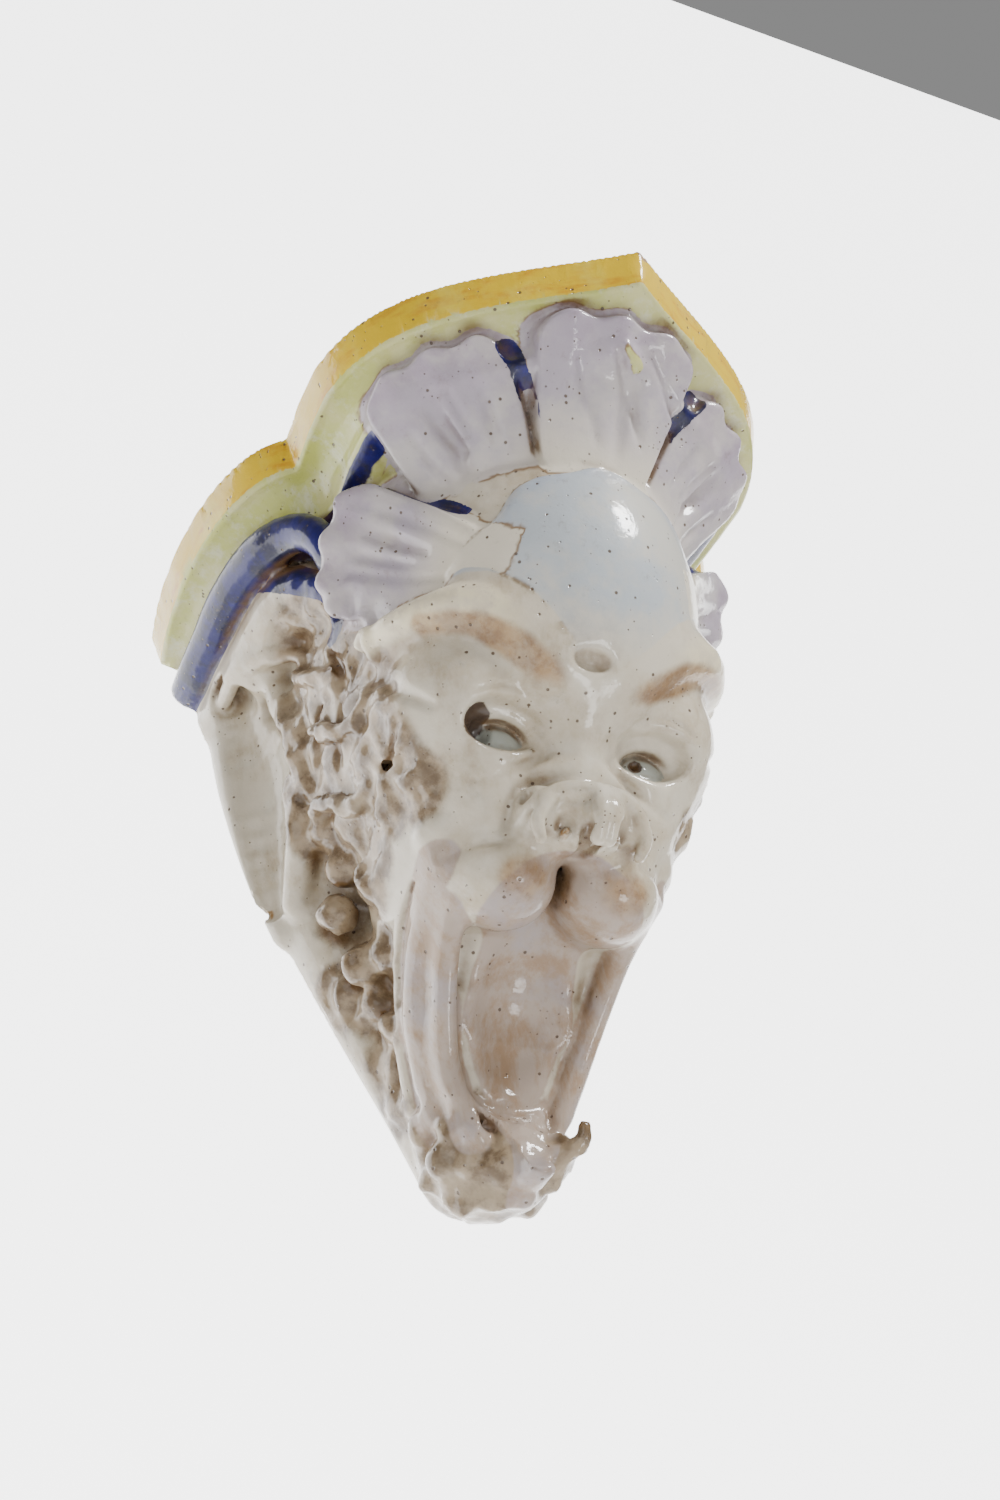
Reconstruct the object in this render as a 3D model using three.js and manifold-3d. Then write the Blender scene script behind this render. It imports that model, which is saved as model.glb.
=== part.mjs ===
// Wall shelf carried by a grotesque mask, one piece of glazed earthenware.
// Millimetres, +Z up. The back lies on the wall plane y = 0 and the mask faces -Y.
// The origin is the wall mount, in the middle of the shelf's back edge.
import * as THREE from 'three';
import * as BufferGeometryUtils from 'three/addons/utils/BufferGeometryUtils.js';
import Module from 'manifold-3d';

const wasm = await Module();
wasm.setup();

// Shelf
const SHELF_WIDTH = 300;
const SHELF_DEPTH = 341;
const LIP_HEIGHT = 22;
const LIP_RUN = 5;
const COVE_RADIUS = 17;
const COVE_STEP = 2;
const SHELF_THICKNESS = 46;

// Mask: its carving is given in shares of these three sizes
const MASK_WIDTH = 300;
const MASK_DEPTH = 341;
const MASK_HEIGHT = 400;

// Hollow back
const WALL = 16;
const SHELF_FLOOR = 20;

// Fineness of the faceted form
const CELL = 5;
const HOLLOW_CELL = 9;
const FORM_TRIANGLES = 7600;
const HOLLOW_TRIANGLES = 900;
const OUTLINE_STEPS = 16;

const MOUNT_DROP = LIP_HEIGHT / 2;
const BACK_CUT = 14;

// Carved depth behind which the hollow's walls run straight back
const WALL_FROM = 55;

// The carving's own sizes, which the three mask sizes stretch
const CARVED = { width: 300, depth: 341, height: 400 };
const stretch = {
  x: MASK_WIDTH / CARVED.width,
  d: MASK_DEPTH / CARVED.depth,
  h: MASK_HEIGHT / CARVED.height,
};
const leastStretch = Math.min(stretch.x, stretch.d, stretch.h);

const clamp = (value, low, high) => Math.min(Math.max(value, low), high);
const mirror = (p) => [Math.abs(p[0]), p[1], p[2]];

// Distances join and cut with a soft seam of width k
const join = (a, b, k) => {
  const near = Math.max(k - Math.abs(a - b), 0) / k;
  return Math.min(a, b) - near * near * k * 0.25;
};
const cut = (a, b, k) => -join(-a, b, k);

// Ellipsoid; tip leans it about the x axis, in degrees
function egg(p, centre, radii, tip = 0) {
  const x = p[0] - centre[0];
  let d = p[1] - centre[1];
  let h = p[2] - centre[2];
  if (tip !== 0) {
    const c = Math.cos(THREE.MathUtils.degToRad(tip));
    const s = Math.sin(THREE.MathUtils.degToRad(tip));
    [d, h] = [c * d + s * h, c * h - s * d];
  }
  const [a, b, c] = radii;
  const near = Math.hypot(x / a, d / b, h / c);
  const slope = Math.hypot(x / (a * a), d / (b * b), h / (c * c));
  return (near * (near - 1)) / Math.max(slope, 1e-6);
}

// Round rope through points [x, d, h, radius]
function bend(points, steps = 3) {
  const centre = new THREE.CatmullRomCurve3(
    points.map(([x, d, h]) => new THREE.Vector3(x, d, h)), false, 'centripetal');
  const last = points.length - 1;
  const count = last * steps;
  const knots = [];
  for (let i = 0; i <= count; i += 1) {
    const at = (i / count) * last;
    const low = Math.min(Math.floor(at), last - 1);
    const share = at - low;
    const radius = points[low][3] * (1 - share) + points[low + 1][3] * share;
    const place = centre.getPoint(i / count);
    knots.push([place.x, place.y, place.z, radius]);
  }
  return (p) => {
    let best = Infinity;
    for (let i = 0; i < count; i += 1) {
      const [ax, ad, ah, ar] = knots[i];
      const [bx, bd, bh, br] = knots[i + 1];
      const ux = bx - ax;
      const ud = bd - ad;
      const uh = bh - ah;
      const vx = p[0] - ax;
      const vd = p[1] - ad;
      const vh = p[2] - ah;
      const t = clamp((ux * vx + ud * vd + uh * vh) / (ux * ux + ud * ud + uh * uh), 0, 1);
      const gap = Math.hypot(vx - t * ux, vd - t * ud, vh - t * uh) - (ar + (br - ar) * t);
      best = Math.min(best, gap);
    }
    return best;
  };
}

// Outline of the shelf in plan, right half: a pointed front lobe and a round side lobe
function halfOutline() {
  const sx = SHELF_WIDTH / CARVED.width;
  const sd = SHELF_DEPTH / CARVED.depth;
  const at = (x, d) => new THREE.Vector2(x * sx, d * sd);
  const front = new THREE.CubicBezierCurve(at(0, 341), at(58, 304), at(126, 284), at(132, 214));
  const flank = new THREE.QuadraticBezierCurve(at(132, 214), at(132, 190), at(129, 166));
  const side = new THREE.CubicBezierCurve(at(129, 166), at(158, 150), at(168, 70), at(150, 0));
  return [
    ...front.getPoints(OUTLINE_STEPS),
    ...flank.getPoints(2).slice(1),
    ...side.getPoints(OUTLINE_STEPS).slice(1),
  ];
}

const outline = halfOutline();

// Plan distance inside the shelf's outline, kept on a grid
function makeInset() {
  const step = 2;
  const low = -40;
  const columns = Math.ceil((SHELF_WIDTH / 2 + 80) / step);
  const rows = Math.ceil((SHELF_DEPTH + 120) / step);
  const edge = [...outline, new THREE.Vector2(outline.at(-1).x, low * 3)];
  const grid = new Float64Array(columns * rows);
  for (let i = 0; i < columns; i += 1) {
    for (let j = 0; j < rows; j += 1) {
      const x = low + i * step;
      const d = low + j * step;
      let near = Infinity;
      let crossings = 0;
      for (const side of [1, -1]) {
        for (let k = 0; k + 1 < edge.length; k += 1) {
          const ax = edge[k].x * side;
          const bx = edge[k + 1].x * side;
          const ad = edge[k].y;
          const bd = edge[k + 1].y;
          const length = (bx - ax) ** 2 + (bd - ad) ** 2;
          const t = clamp(((x - ax) * (bx - ax) + (d - ad) * (bd - ad)) / length, 0, 1);
          near = Math.min(near, Math.hypot(x - ax - t * (bx - ax), d - ad - t * (bd - ad)));
          const spans = (ad > d) !== (bd > d);
          if (spans && x < ax + ((bx - ax) * (d - ad)) / (bd - ad)) crossings += 1;
        }
      }
      grid[i * rows + j] = crossings % 2 === 1 ? near : -near;
    }
  }
  return (x, d) => {
    const u = clamp((Math.abs(x) - low) / step, 0, columns - 1.001);
    const v = clamp((d - low) / step, 0, rows - 1.001);
    const i = Math.floor(u);
    const j = Math.floor(v);
    const s = u - i;
    const t = v - j;
    const at = (a, b) => grid[a * rows + b];
    return (1 - s) * ((1 - t) * at(i, j) + t * at(i, j + 1))
      + s * ((1 - t) * at(i + 1, j) + t * at(i + 1, j + 1));
  };
}

const inset = makeInset();

// Underside of the shelf, inside its lip: hollow quarter round and flat ground
function moulding(p) {
  const [x, d, h] = p;
  const s = inset(x, d);
  const lip = LIP_RUN + COVE_STEP / 2 - s;
  const inward = Math.max(s - LIP_RUN - COVE_STEP, 0);
  const upward = Math.max(h + LIP_HEIGHT + COVE_RADIUS, 0);
  const hollow = Math.hypot(inward, upward) - COVE_RADIUS;
  const ground = -SHELF_THICKNESS - h - 0.25 * (s - 26);
  return cut(cut(lip, hollow, 1.5), -ground, 5);
}

// Half-round moulding that runs below each side lobe and up behind the leaves
const sideRoll = bend([
  [127, -12, -40, 12], [131, 40, -42, 12], [133, 80, -42, 12], [129, 118, -44, 12],
  [120, 146, -52, 11], [112, 160, -70, 10], [106, 160, -92, 8], [104, 158, -112, 5],
]);

// Fluted leaf from its root to its tip; out is the way that its face looks
function leaf({ root, tip, out, halfRoot, halfTip, spoonAt }) {
  const from = new THREE.Vector3(...root);
  const along = new THREE.Vector3(...tip).sub(from);
  const length = along.length();
  along.normalize();
  const across = new THREE.Vector3(...out).cross(along).normalize();
  const normal = along.clone().cross(across);
  return (p) => {
    const q = new THREE.Vector3(...p).sub(from);
    const u = q.dot(along) / length;
    const v = q.dot(across);
    const w = q.dot(normal);
    const share = clamp(u, 0, 1);
    const half = halfRoot + (halfTip - halfRoot) * share ** 0.8;
    const a = v / half;
    const ribs = Math.cos(a * Math.PI * 3.4 + 0.6);
    const spoonEnds = clamp((share - 0.15) * 4, 0, 1) * clamp((0.84 - share) * 12, 0, 1);
    const spoon = Math.exp(-(((a - spoonAt) / 0.13) ** 2)) * spoonEnds;
    const face = -4 * Math.sin(Math.PI * share) - 4 * a * a + 1.1 * share * share * ribs - 3.6 * spoon;
    const end = (u - 1) * length + 8 * a * a - 1.5 * ribs;
    let edge = cut(Math.abs(v) - half, -end, 14);
    edge = Math.max(edge, -(u + 0.25) * length);
    return Math.max(cut(w - face, -edge, 3), -w - 40);
  };
}

const leaves = {
  middle: leaf({
    root: [0, 258, -94], tip: [0, 319, -31], out: [0, 0.75, -0.65], halfRoot: 26, halfTip: 49, spoonAt: 0.22,
  }),
  front: leaf({
    root: [46, 226, -106], tip: [95, 266, -33], out: [0.6, 0.6, -0.5], halfRoot: 24, halfTip: 44, spoonAt: 0.1,
  }),
  side: leaf({
    root: [66, 220, -140], tip: [121, 174, -90], out: [0.8, 0.38, -0.46], halfRoot: 23, halfTip: 39, spoonAt: 0.05,
  }),
};

// Slots between the leaves, on both sides
const leafGaps = [
  bend([[34, 260, -92, 1], [39, 270, -70, 2.5], [45, 277, -49, 3], [56, 286, -35, 5]]),
  bend([[63, 230, -105, 1], [77, 220, -90, 3], [90, 213, -77, 4], [100, 204, -62, 7]]),
];

const flankRope = bend([
  [86, 4, -50, 34], [78, 8, -110, 36], [66, 8, -180, 30],
  [48, 10, -240, 26], [28, 12, -310, 18], [8, 16, -362, 19],
]);
const jaw = { centre: 60, rope: bend([[0, 76, -250, 60], [0, 34, -362, 21]]) };
const skull = { centre: [0, 130, -98], radii: [98, 134, 128] };
const cheek = { centre: [46, 146, -184], radii: [44, 62, 42] };
const cheekbone = { centre: [58, 158, -190], radii: [32, 52, 38] };
const jowl = { centre: [38, 122, -228], radii: [38, 62, 44] };
const crown = { centre: [0, 132, -62], radii: [100, 128, 58] };
const temple = { centre: [54, 84, -130], radii: [44, 90, 84] };

// Plain masses of head, cheeks and jaw
function head(p) {
  const m = mirror(p);
  let f = egg(p, skull.centre, skull.radii);
  f = join(f, egg(m, cheek.centre, cheek.radii), 24);
  f = join(f, egg(m, cheekbone.centre, cheekbone.radii), 14);
  f = join(f, egg(m, jowl.centre, jowl.radii), 22);
  f = join(f, jaw.rope(p), 26);
  f = join(f, egg(p, crown.centre, crown.radii), 10);
  f = join(f, egg(m, temple.centre, temple.radii), 20);
  return join(f, flankRope(m), 20);
}

// The same masses, each kept at its widest from its middle back to the wall
function headOpenBehind(p) {
  const m = mirror(p);
  const open = (q, depth) => [q[0], Math.max(q[1], depth), q[2]];
  let f = egg(open(p, skull.centre[1]), skull.centre, skull.radii);
  f = join(f, egg(open(m, cheek.centre[1]), cheek.centre, cheek.radii), 24);
  f = join(f, egg(open(m, jowl.centre[1]), jowl.centre, jowl.radii), 22);
  return join(f, jaw.rope(open(p, jaw.centre)), 26);
}

// Cap with a scalloped rim on the forehead
function cap(p) {
  const around = Math.atan2(p[0], p[2] + 165);
  const rim = Math.hypot(p[0], p[2] + 165) - 74 - 2.4 * Math.cos(around * 11);
  const dome = cut(egg(p, [0, 132, -112], [97, 138, 118]), -rim, 4);
  return Math.max(dome, 150 - p[1]);
}

const browRope = bend([
  [0, 206, -196, 8], [22, 216, -188, 9], [46, 223, -172, 10],
  [70, 218, -163, 9], [88, 196, -156, 7], [98, 168, -148, 6],
]);
const lidRope = bend([
  [21, 184, -217, 2], [29, 189, -208, 3.5], [42, 191, -204, 4.5], [55, 187, -206, 4.5], [66, 176, -213, 3],
]);
const lowLidRope = bend([
  [21, 184, -219, 2], [31, 186, -227, 2.5], [44, 185, -230, 2.5], [56, 180, -227, 2.5], [65, 174, -218, 2],
]);

function eyes(f, p) {
  const m = mirror(p);
  let g = join(f, browRope(m), 16);
  g = join(g, egg(m, [46, 176, -190], [26, 20, 12]), 8);
  g = cut(g, egg(p, [-9, 233, -195], [8, 6, 3]), 4);
  g = cut(g, egg(m, [42, 198, -217], [22, 19, 12], -12), 4);
  g = join(g, egg(m, [40, 167, -216], [20, 20, 16]), 1.5);
  g = join(g, lidRope(m), 3);
  return join(g, lowLidRope(m), 3);
}

const bridgeRope = bend([[0, 196, -196, 13], [0, 178, -236, 15]]);

function nose(f, p) {
  const m = mirror(p);
  let g = join(f, bridgeRope(p), 14);
  g = join(g, egg(p, [0, 181, -232], [26, 12, 8]), 6);
  g = join(g, egg(p, [0, 176, -257], [31, 23, 19]), 5);
  g = join(g, egg(p, [3, 193, -267], [13, 15, 12]), 7);
  g = join(g, egg(m, [25, 178, -257], [10, 15, 14]), 4);
  return cut(g, egg(m, [15, 198, -271], [7, 17, 6], 25), 2.5);
}

const mouthRope = bend([[0, 146, -308, 42], [0, 112, -328, 38], [0, 92, -354, 24]]);
const lipEdge = bend([
  [49, 132, -280, 6], [46, 110, -294, 6], [42, 92, -311, 6],
  [36, 74, -332, 6], [28, 66, -354, 6], [22, 64, -370, 6],
]);
const lipRidge = bend([
  [60, 148, -252, 6], [58, 128, -258, 6], [57, 100, -264, 6], [54, 80, -274, 6],
  [48, 62, -291, 6], [42, 45, -314, 6], [34, 34, -336, 6], [25, 26, -360, 7],
]);
const lipFlat = bend([
  [54, 138, -262, 12], [50, 112, -272, 12], [47, 90, -285, 12],
  [42, 70, -305, 12], [35, 57, -327, 11], [28, 47, -350, 11],
]);

// Tongue at falling heights: h, depth of its face, half width, middle
const TONGUE = [
  [-240, 124, 38, -1], [-265, 108, 38, -1], [-300, 84, 36, -2], [-334, 68, 30, -7], [-346, 67, 25, -5],
  [-358, 71, 19, 0], [-366, 73, 14, 3], [-380, 79, 10, 4], [-394, 85, 7, 3], [-402, 88, 5, 3],
];
const TONGUE_END = -400;

function tongue(p) {
  const [x, d, h] = p;
  const level = clamp(h, TONGUE.at(-1)[0], TONGUE[0][0]);
  const low = clamp(TONGUE.findIndex((row) => row[0] <= level), 1, TONGUE.length - 1);
  const [above, below] = [TONGUE[low - 1], TONGUE[low]];
  const share = (above[0] - level) / (above[0] - below[0]);
  const [depth, half, middle] = [1, 2, 3].map((i) => above[i] + (below[i] - above[i]) * share);
  const off = x - middle;
  const front = (d - depth - 4 * (off / half) ** 4 + 3) * 0.88;
  let plate = cut(front, half - Math.abs(off), 6);
  plate = cut(plate, h - TONGUE_END, 6);
  return Math.max(plate, depth - 34 - d);
}

function mouth(f, p) {
  const m = mirror(p);
  let g = cut(f, mouthRope(p), 6);
  g = join(g, egg(m, [29, 144, -272], [27, 27, 24]), 10);
  g = join(g, join(join(lipEdge(m), lipFlat(m), 12), lipRidge(m), 5), 8);
  g = join(g, tongue(p), 3);
  return join(g, egg(p, [0, 42, -376], [27, 30, 22]), 10);
}

const templeLock = bend([[104, -20, -60, 20], [106, 60, -62, 21], [104, 112, -66, 20], [96, 142, -88, 14]]);
const earRim = bend([
  [112, 6, -56, 7], [110, 6, -110, 7], [104, 6, -150, 7], [95, 5, -185, 7], [85, 4, -212, 7],
]);
const earEdge = bend([
  [106, 46, -54, 8], [103, 60, -70, 8], [100, 64, -100, 8], [97, 73, -128, 9],
  [95, 70, -148, 9], [93, 56, -160, 9], [91, 52, -182, 9], [86, 24, -205, 7],
]);
const earBowl = bend([
  [120, 34, -74, 15], [122, 36, -98, 22], [119, 40, -130, 27], [110, 28, -165, 20], [98, 12, -198, 11],
]);

function ears(f, p) {
  const m = mirror(p);
  const g = join(f, templeLock(m), 8);
  return cut(join(g, join(earRim(m), earEdge(m), 6), 8), earBowl(m), 3);
}

// Knots of the mane from the ear down to the chin, on both sides: x, d, h, radius
const KNOTS = [
  [84, 90, -199, 13], [77, 86, -235, 13], [81, 46, -226, 11], [69, 46, -257, 12], [56, 34, -272, 10],
  [52, 42, -294, 9], [45, 28, -306, 8], [40, 22, -326, 8], [90, 66, -184, 12], [77, 153, -226, 12],
  [80, 60, -206, 10], [95, 72, -160, 12], [92, 101, -171, 13], [88, 128, -192, 13], [85, 158, -204, 10],
  [80, 130, -220, 12], [92, 106, -150, 11], [92, 132, -166, 12], [93, 120, -138, 13], [75, 104, -229, 11],
  [64, 20, -260, 10], [60, 62, -262, 9],
];
// Curls of the beard around the chin: x, d, h, radius
const BEARD = [
  [-33, 40, -355, 9], [-28, 60, -366, 8], [-12, 60, -358, 8], [-28, 48, -376, 10], [-18, 56, -382, 10],
  [-7, 66, -388, 9], [9, 70, -382, 9], [21, 77, -383, 9], [-18, 42, -391, 10], [-6, 50, -394, 8],
  [8, 54, -394, 8], [18, 66, -388, 9], [-26, 30, -376, 9], [26, 50, -372, 9], [28, 30, -372, 9],
  [16, 40, -388, 10],
];
const beardTip = bend([[12, 66, -384, 9], [20, 76, -384, 7], [25, 86, -381, 4], [26, 91, -375, 2.5]]);

function mane(f, p) {
  const m = mirror(p);
  let g = f;
  for (const [x, d, h, size] of KNOTS) {
    g = join(g, egg(m, [x - 0.75 * size, d, h], [size, size, size]), 6);
  }
  for (const [x, d, h, size] of BEARD) {
    g = join(g, egg(p, [x, d - 0.4 * size, h + 0.4 * size], [size, size, size]), 5);
  }
  return join(g, beardTip(p), 3);
}

// Distance to the whole carved form, in its own sizes
function carving(p) {
  const m = mirror(p);
  let f = join(head(p), cap(p), 2);
  f = eyes(f, p);
  f = nose(f, p);
  f = mouth(f, p);
  f = mane(f, p);
  for (const [name, plate] of Object.entries(leaves)) {
    f = join(f, plate(name === 'middle' ? p : m), 2);
  }
  for (const gap of leafGaps) f = cut(f, gap(m), 2);
  f = ears(f, p);
  return join(f, sideRoll(m), 6);
}

const toCarved = (p) => [p[0] / stretch.x, p[1] / stretch.d, p[2] / stretch.h];

// Mask and shelf moulding, carried a little past the wall, where they are cut off flat
function form(p) {
  const mask = carving(toCarved(p)) * leastStretch;
  const f = join(mask, moulding(p), 5);
  return Math.max(f, p[2] + LIP_HEIGHT / 3, -BACK_CUT - p[1]);
}

// Hollow back: it follows the plain masses and keeps a wall to all of the carving
function hollowBack(p) {
  const c = toCarved(p);
  const inside = headOpenBehind(c) * leastStretch + WALL;
  const wall = carving([c[0], Math.max(c[1], WALL_FROM), c[2]]) * leastStretch + WALL;
  const shelfFloor = p[2] + LIP_HEIGHT + SHELF_FLOOR;
  return Math.max(cut(inside, -wall, 12), shelfFloor, -BACK_CUT / 2 - p[1]);
}

// Closed surface where a distance field is zero, by six tetrahedra to a grid cell
function polygonise(field, low, high, cell) {
  const count = low.map((value, axis) => Math.ceil((high[axis] - value) / cell) + 1);
  const [nx, ny, nz] = count;
  const nodeAt = (i, j, k) => (i * ny + j) * nz + k;
  const place = (i, j, k) => [low[0] + i * cell, low[1] + j * cell, low[2] + k * cell];
  const values = new Float64Array(nx * ny * nz);
  for (let i = 0; i < nx; i += 1) {
    for (let j = 0; j < ny; j += 1) {
      for (let k = 0; k < nz; k += 1) {
        const value = field(place(i, j, k));
        values[nodeAt(i, j, k)] = value === 0 ? 1e-6 : value;
      }
    }
  }
  const corner = (n) => [(n >> 2) & 1, (n >> 1) & 1, n & 1];
  const tetrahedra = [[0, 4, 6, 7], [0, 6, 2, 7], [0, 2, 3, 7], [0, 3, 1, 7], [0, 1, 5, 7], [0, 5, 4, 7]];
  const points = [];
  const faces = [];
  const known = new Map();
  const total = values.length;
  const crossing = (a, b) => {
    const [first, second] = a.node < b.node ? [a, b] : [b, a];
    const key = first.node * total + second.node;
    if (!known.has(key)) {
      const va = values[first.node];
      const t = clamp(va / (va - values[second.node]), 0.08, 0.92);
      known.set(key, points.length);
      points.push(first.at.map((value, axis) => value + (second.at[axis] - value) * t));
    }
    return known.get(key);
  };
  for (let i = 0; i + 1 < nx; i += 1) {
    for (let j = 0; j + 1 < ny; j += 1) {
      for (let k = 0; k + 1 < nz; k += 1) {
        const first = values[nodeAt(i, j, k)];
        if (Math.abs(first) > cell * 4) continue;
        const nodes = [];
        for (let n = 0; n < 8; n += 1) {
          const [a, b, c] = corner(n);
          nodes.push({ node: nodeAt(i + a, j + b, k + c), at: place(i + a, j + b, k + c) });
        }
        for (const tetrahedron of tetrahedra) {
          const inside = tetrahedron.filter((n) => values[nodes[n].node] < 0);
          if (inside.length === 0 || inside.length === 4) continue;
          const outside = tetrahedron.filter((n) => values[nodes[n].node] >= 0);
          const edge = (a, b) => crossing(nodes[a], nodes[b]);
          let ring;
          if (inside.length === 1) ring = outside.map((n) => edge(inside[0], n));
          else if (inside.length === 3) ring = inside.map((n) => edge(n, outside[0]));
          else {
            ring = [edge(inside[0], outside[0]), edge(inside[0], outside[1]),
              edge(inside[1], outside[1]), edge(inside[1], outside[0])];
          }
          addRing(points, faces, ring, nodes[inside[0]].at, nodes[outside[0]].at);
        }
      }
    }
  }
  return { points, faces };
}

// Adds a ring of three or four points as triangles that look from the inside out
function addRing(points, faces, ring, inside, outside) {
  const [a, b, c] = ring.slice(0, 3).map((index) => new THREE.Vector3(...points[index]));
  const normal = b.sub(a).cross(c.sub(a));
  const outward = new THREE.Vector3(...outside).sub(new THREE.Vector3(...inside));
  const turned = normal.dot(outward) < 0 ? [...ring].reverse() : ring;
  faces.push([turned[0], turned[1], turned[2]]);
  if (ring.length === 4) faces.push([turned[0], turned[2], turned[3]]);
}

// Fewer triangles: the edge that bends the surface least is closed up first
class Simplifier {
  constructor({ points, faces }) {
    this.points = points;
    this.faces = faces;
    this.alive = faces.length;
    this.around = points.map(() => new Set());
    this.error = points.map(() => new Float64Array(10));
    this.stamp = new Int32Array(points.length);
    this.heap = [];
    faces.forEach((face, index) => this.addFace(face, index));
    for (const face of faces) {
      for (let i = 0; i < 3; i += 1) {
        if (face[i] < face[(i + 1) % 3]) this.propose(face[i], face[(i + 1) % 3]);
      }
    }
  }

  normal(a, b, c) {
    const [p, q, r] = [this.points[a], this.points[b], this.points[c]];
    const u = [q[0] - p[0], q[1] - p[1], q[2] - p[2]];
    const v = [r[0] - p[0], r[1] - p[1], r[2] - p[2]];
    return [u[1] * v[2] - u[2] * v[1], u[2] * v[0] - u[0] * v[2], u[0] * v[1] - u[1] * v[0]];
  }

  addFace(face, index) {
    const n = this.normal(...face);
    const length = Math.hypot(...n);
    for (const corner of face) this.around[corner].add(index);
    if (length < 1e-12) return;
    const [a, b, c] = n.map((value) => value / length);
    const p = this.points[face[0]];
    const e = -(a * p[0] + b * p[1] + c * p[2]);
    const plane = [a * a, a * b, a * c, a * e, b * b, b * c, b * e, c * c, c * e, e * e];
    for (const corner of face) {
      for (let i = 0; i < 10; i += 1) this.error[corner][i] += plane[i] * length * 0.5;
    }
  }

  neighbours(v) {
    const found = new Set();
    for (const index of this.around[v]) {
      for (const corner of this.faces[index]) if (corner !== v) found.add(corner);
    }
    return found;
  }

  cost(q, [x, y, z]) {
    return q[0] * x * x + 2 * q[1] * x * y + 2 * q[2] * x * z + 2 * q[3] * x + q[4] * y * y
      + 2 * q[5] * y * z + 2 * q[6] * y + q[7] * z * z + 2 * q[8] * z + q[9];
  }

  propose(a, b) {
    const q = this.error[a].map((value, i) => value + this.error[b][i]);
    const [p, r] = [this.points[a], this.points[b]];
    const middle = p.map((value, axis) => (value + r[axis]) / 2);
    const places = [middle, p, r];
    const solve = new THREE.Matrix3().set(q[0], q[1], q[2], q[1], q[4], q[5], q[2], q[5], q[7]);
    const length = Math.hypot(p[0] - r[0], p[1] - r[1], p[2] - r[2]);
    const size = Math.cbrt(Math.abs(solve.determinant()));
    if (size > 1e-2 * (q[0] + q[4] + q[7])) {
      const best = new THREE.Vector3(-q[3], -q[6], -q[8]).applyMatrix3(solve.invert());
      const gap = Math.hypot(best.x - middle[0], best.y - middle[1], best.z - middle[2]);
      if (gap < length) places.push(best.toArray());
    }
    let chosen = places[0];
    let least = Infinity;
    for (const place of places) {
      const value = this.cost(q, place);
      if (value < least - 1e-9) {
        least = value;
        chosen = place;
      }
    }
    const entry = { cost: least + length * length * 1e-4, a, b, place: chosen };
    entry.stamps = [this.stamp[a], this.stamp[b]];
    this.push(entry);
  }

  push(entry) {
    const { heap } = this;
    let i = heap.length;
    heap.push(entry);
    while (i > 0) {
      const parent = (i - 1) >> 1;
      if (heap[parent].cost <= entry.cost) break;
      heap[i] = heap[parent];
      i = parent;
    }
    heap[i] = entry;
  }

  pop() {
    const { heap } = this;
    const top = heap[0];
    const last = heap.pop();
    if (heap.length > 0) {
      let i = 0;
      for (;;) {
        let child = 2 * i + 1;
        if (child >= heap.length) break;
        if (child + 1 < heap.length && heap[child + 1].cost < heap[child].cost) child += 1;
        if (heap[child].cost >= last.cost) break;
        heap[i] = heap[child];
        i = child;
      }
      heap[i] = last;
    }
    return top;
  }

  // A corner may move to a new place if no triangle round it turns over or thins out
  allowed(v, other, place) {
    const old = this.points[v];
    for (const index of this.around[v]) {
      const face = this.faces[index];
      if (face.includes(other)) continue;
      const before = this.normal(...face);
      this.points[v] = place;
      const after = this.normal(...face);
      this.points[v] = old;
      const dot = before[0] * after[0] + before[1] * after[1] + before[2] * after[2];
      if (dot < 0.3 * Math.hypot(...before) * Math.hypot(...after)) return false;
      if (Math.hypot(...after) < 1e-3) return false;
    }
    return true;
  }

  collapse({ a, b, place }) {
    const nearA = this.neighbours(a);
    const nearB = this.neighbours(b);
    const shared = [...nearA].filter((v) => nearB.has(v));
    if (shared.length !== 2 || nearA.size + nearB.size < 9) return;
    if (shared.some((v) => this.around[v].size < 4)) return;
    if (!this.allowed(a, b, place) || !this.allowed(b, a, place)) return;
    for (const index of [...this.around[b]]) {
      const face = this.faces[index];
      if (face.includes(a)) {
        for (const corner of face) this.around[corner].delete(index);
        this.faces[index] = null;
        this.alive -= 1;
      } else {
        this.faces[index] = face.map((corner) => (corner === b ? a : corner));
        this.around[a].add(index);
      }
    }
    this.around[b].clear();
    this.points[a] = place;
    for (let i = 0; i < 10; i += 1) this.error[a][i] += this.error[b][i];
    this.stamp[a] += 1;
    this.stamp[b] += 1;
    for (const v of this.neighbours(a)) this.propose(a, v);
  }

  run(target) {
    while (this.alive > target && this.heap.length > 0) {
      const entry = this.pop();
      const fresh = this.stamp[entry.a] === entry.stamps[0] && this.stamp[entry.b] === entry.stamps[1];
      if (fresh) this.collapse(entry);
    }
    const index = new Map();
    const points = [];
    const faces = [];
    for (const face of this.faces.filter(Boolean)) {
      for (const corner of face) {
        if (!index.has(corner)) {
          index.set(corner, points.length);
          points.push(this.points[corner]);
        }
      }
      faces.push(face.map((corner) => index.get(corner)));
    }
    return { points, faces };
  }
}

// Model frame: x to the right, y back to the wall, z up from the mount
const toFrame = ([x, d, h]) => [x, -d, h + MOUNT_DROP];

function solidOf({ points, faces }) {
  const vertProperties = new Float32Array(points.flatMap(toFrame));
  const triVerts = new Uint32Array(faces.flat());
  return new wasm.Manifold(new wasm.Mesh({ numProp: 3, vertProperties, triVerts }));
}

// The y axis runs against the depth, which turns every triangle over once
const turned = ({ points, faces }) => ({ points, faces: faces.map(([a, b, c]) => [a, c, b]) });

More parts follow.
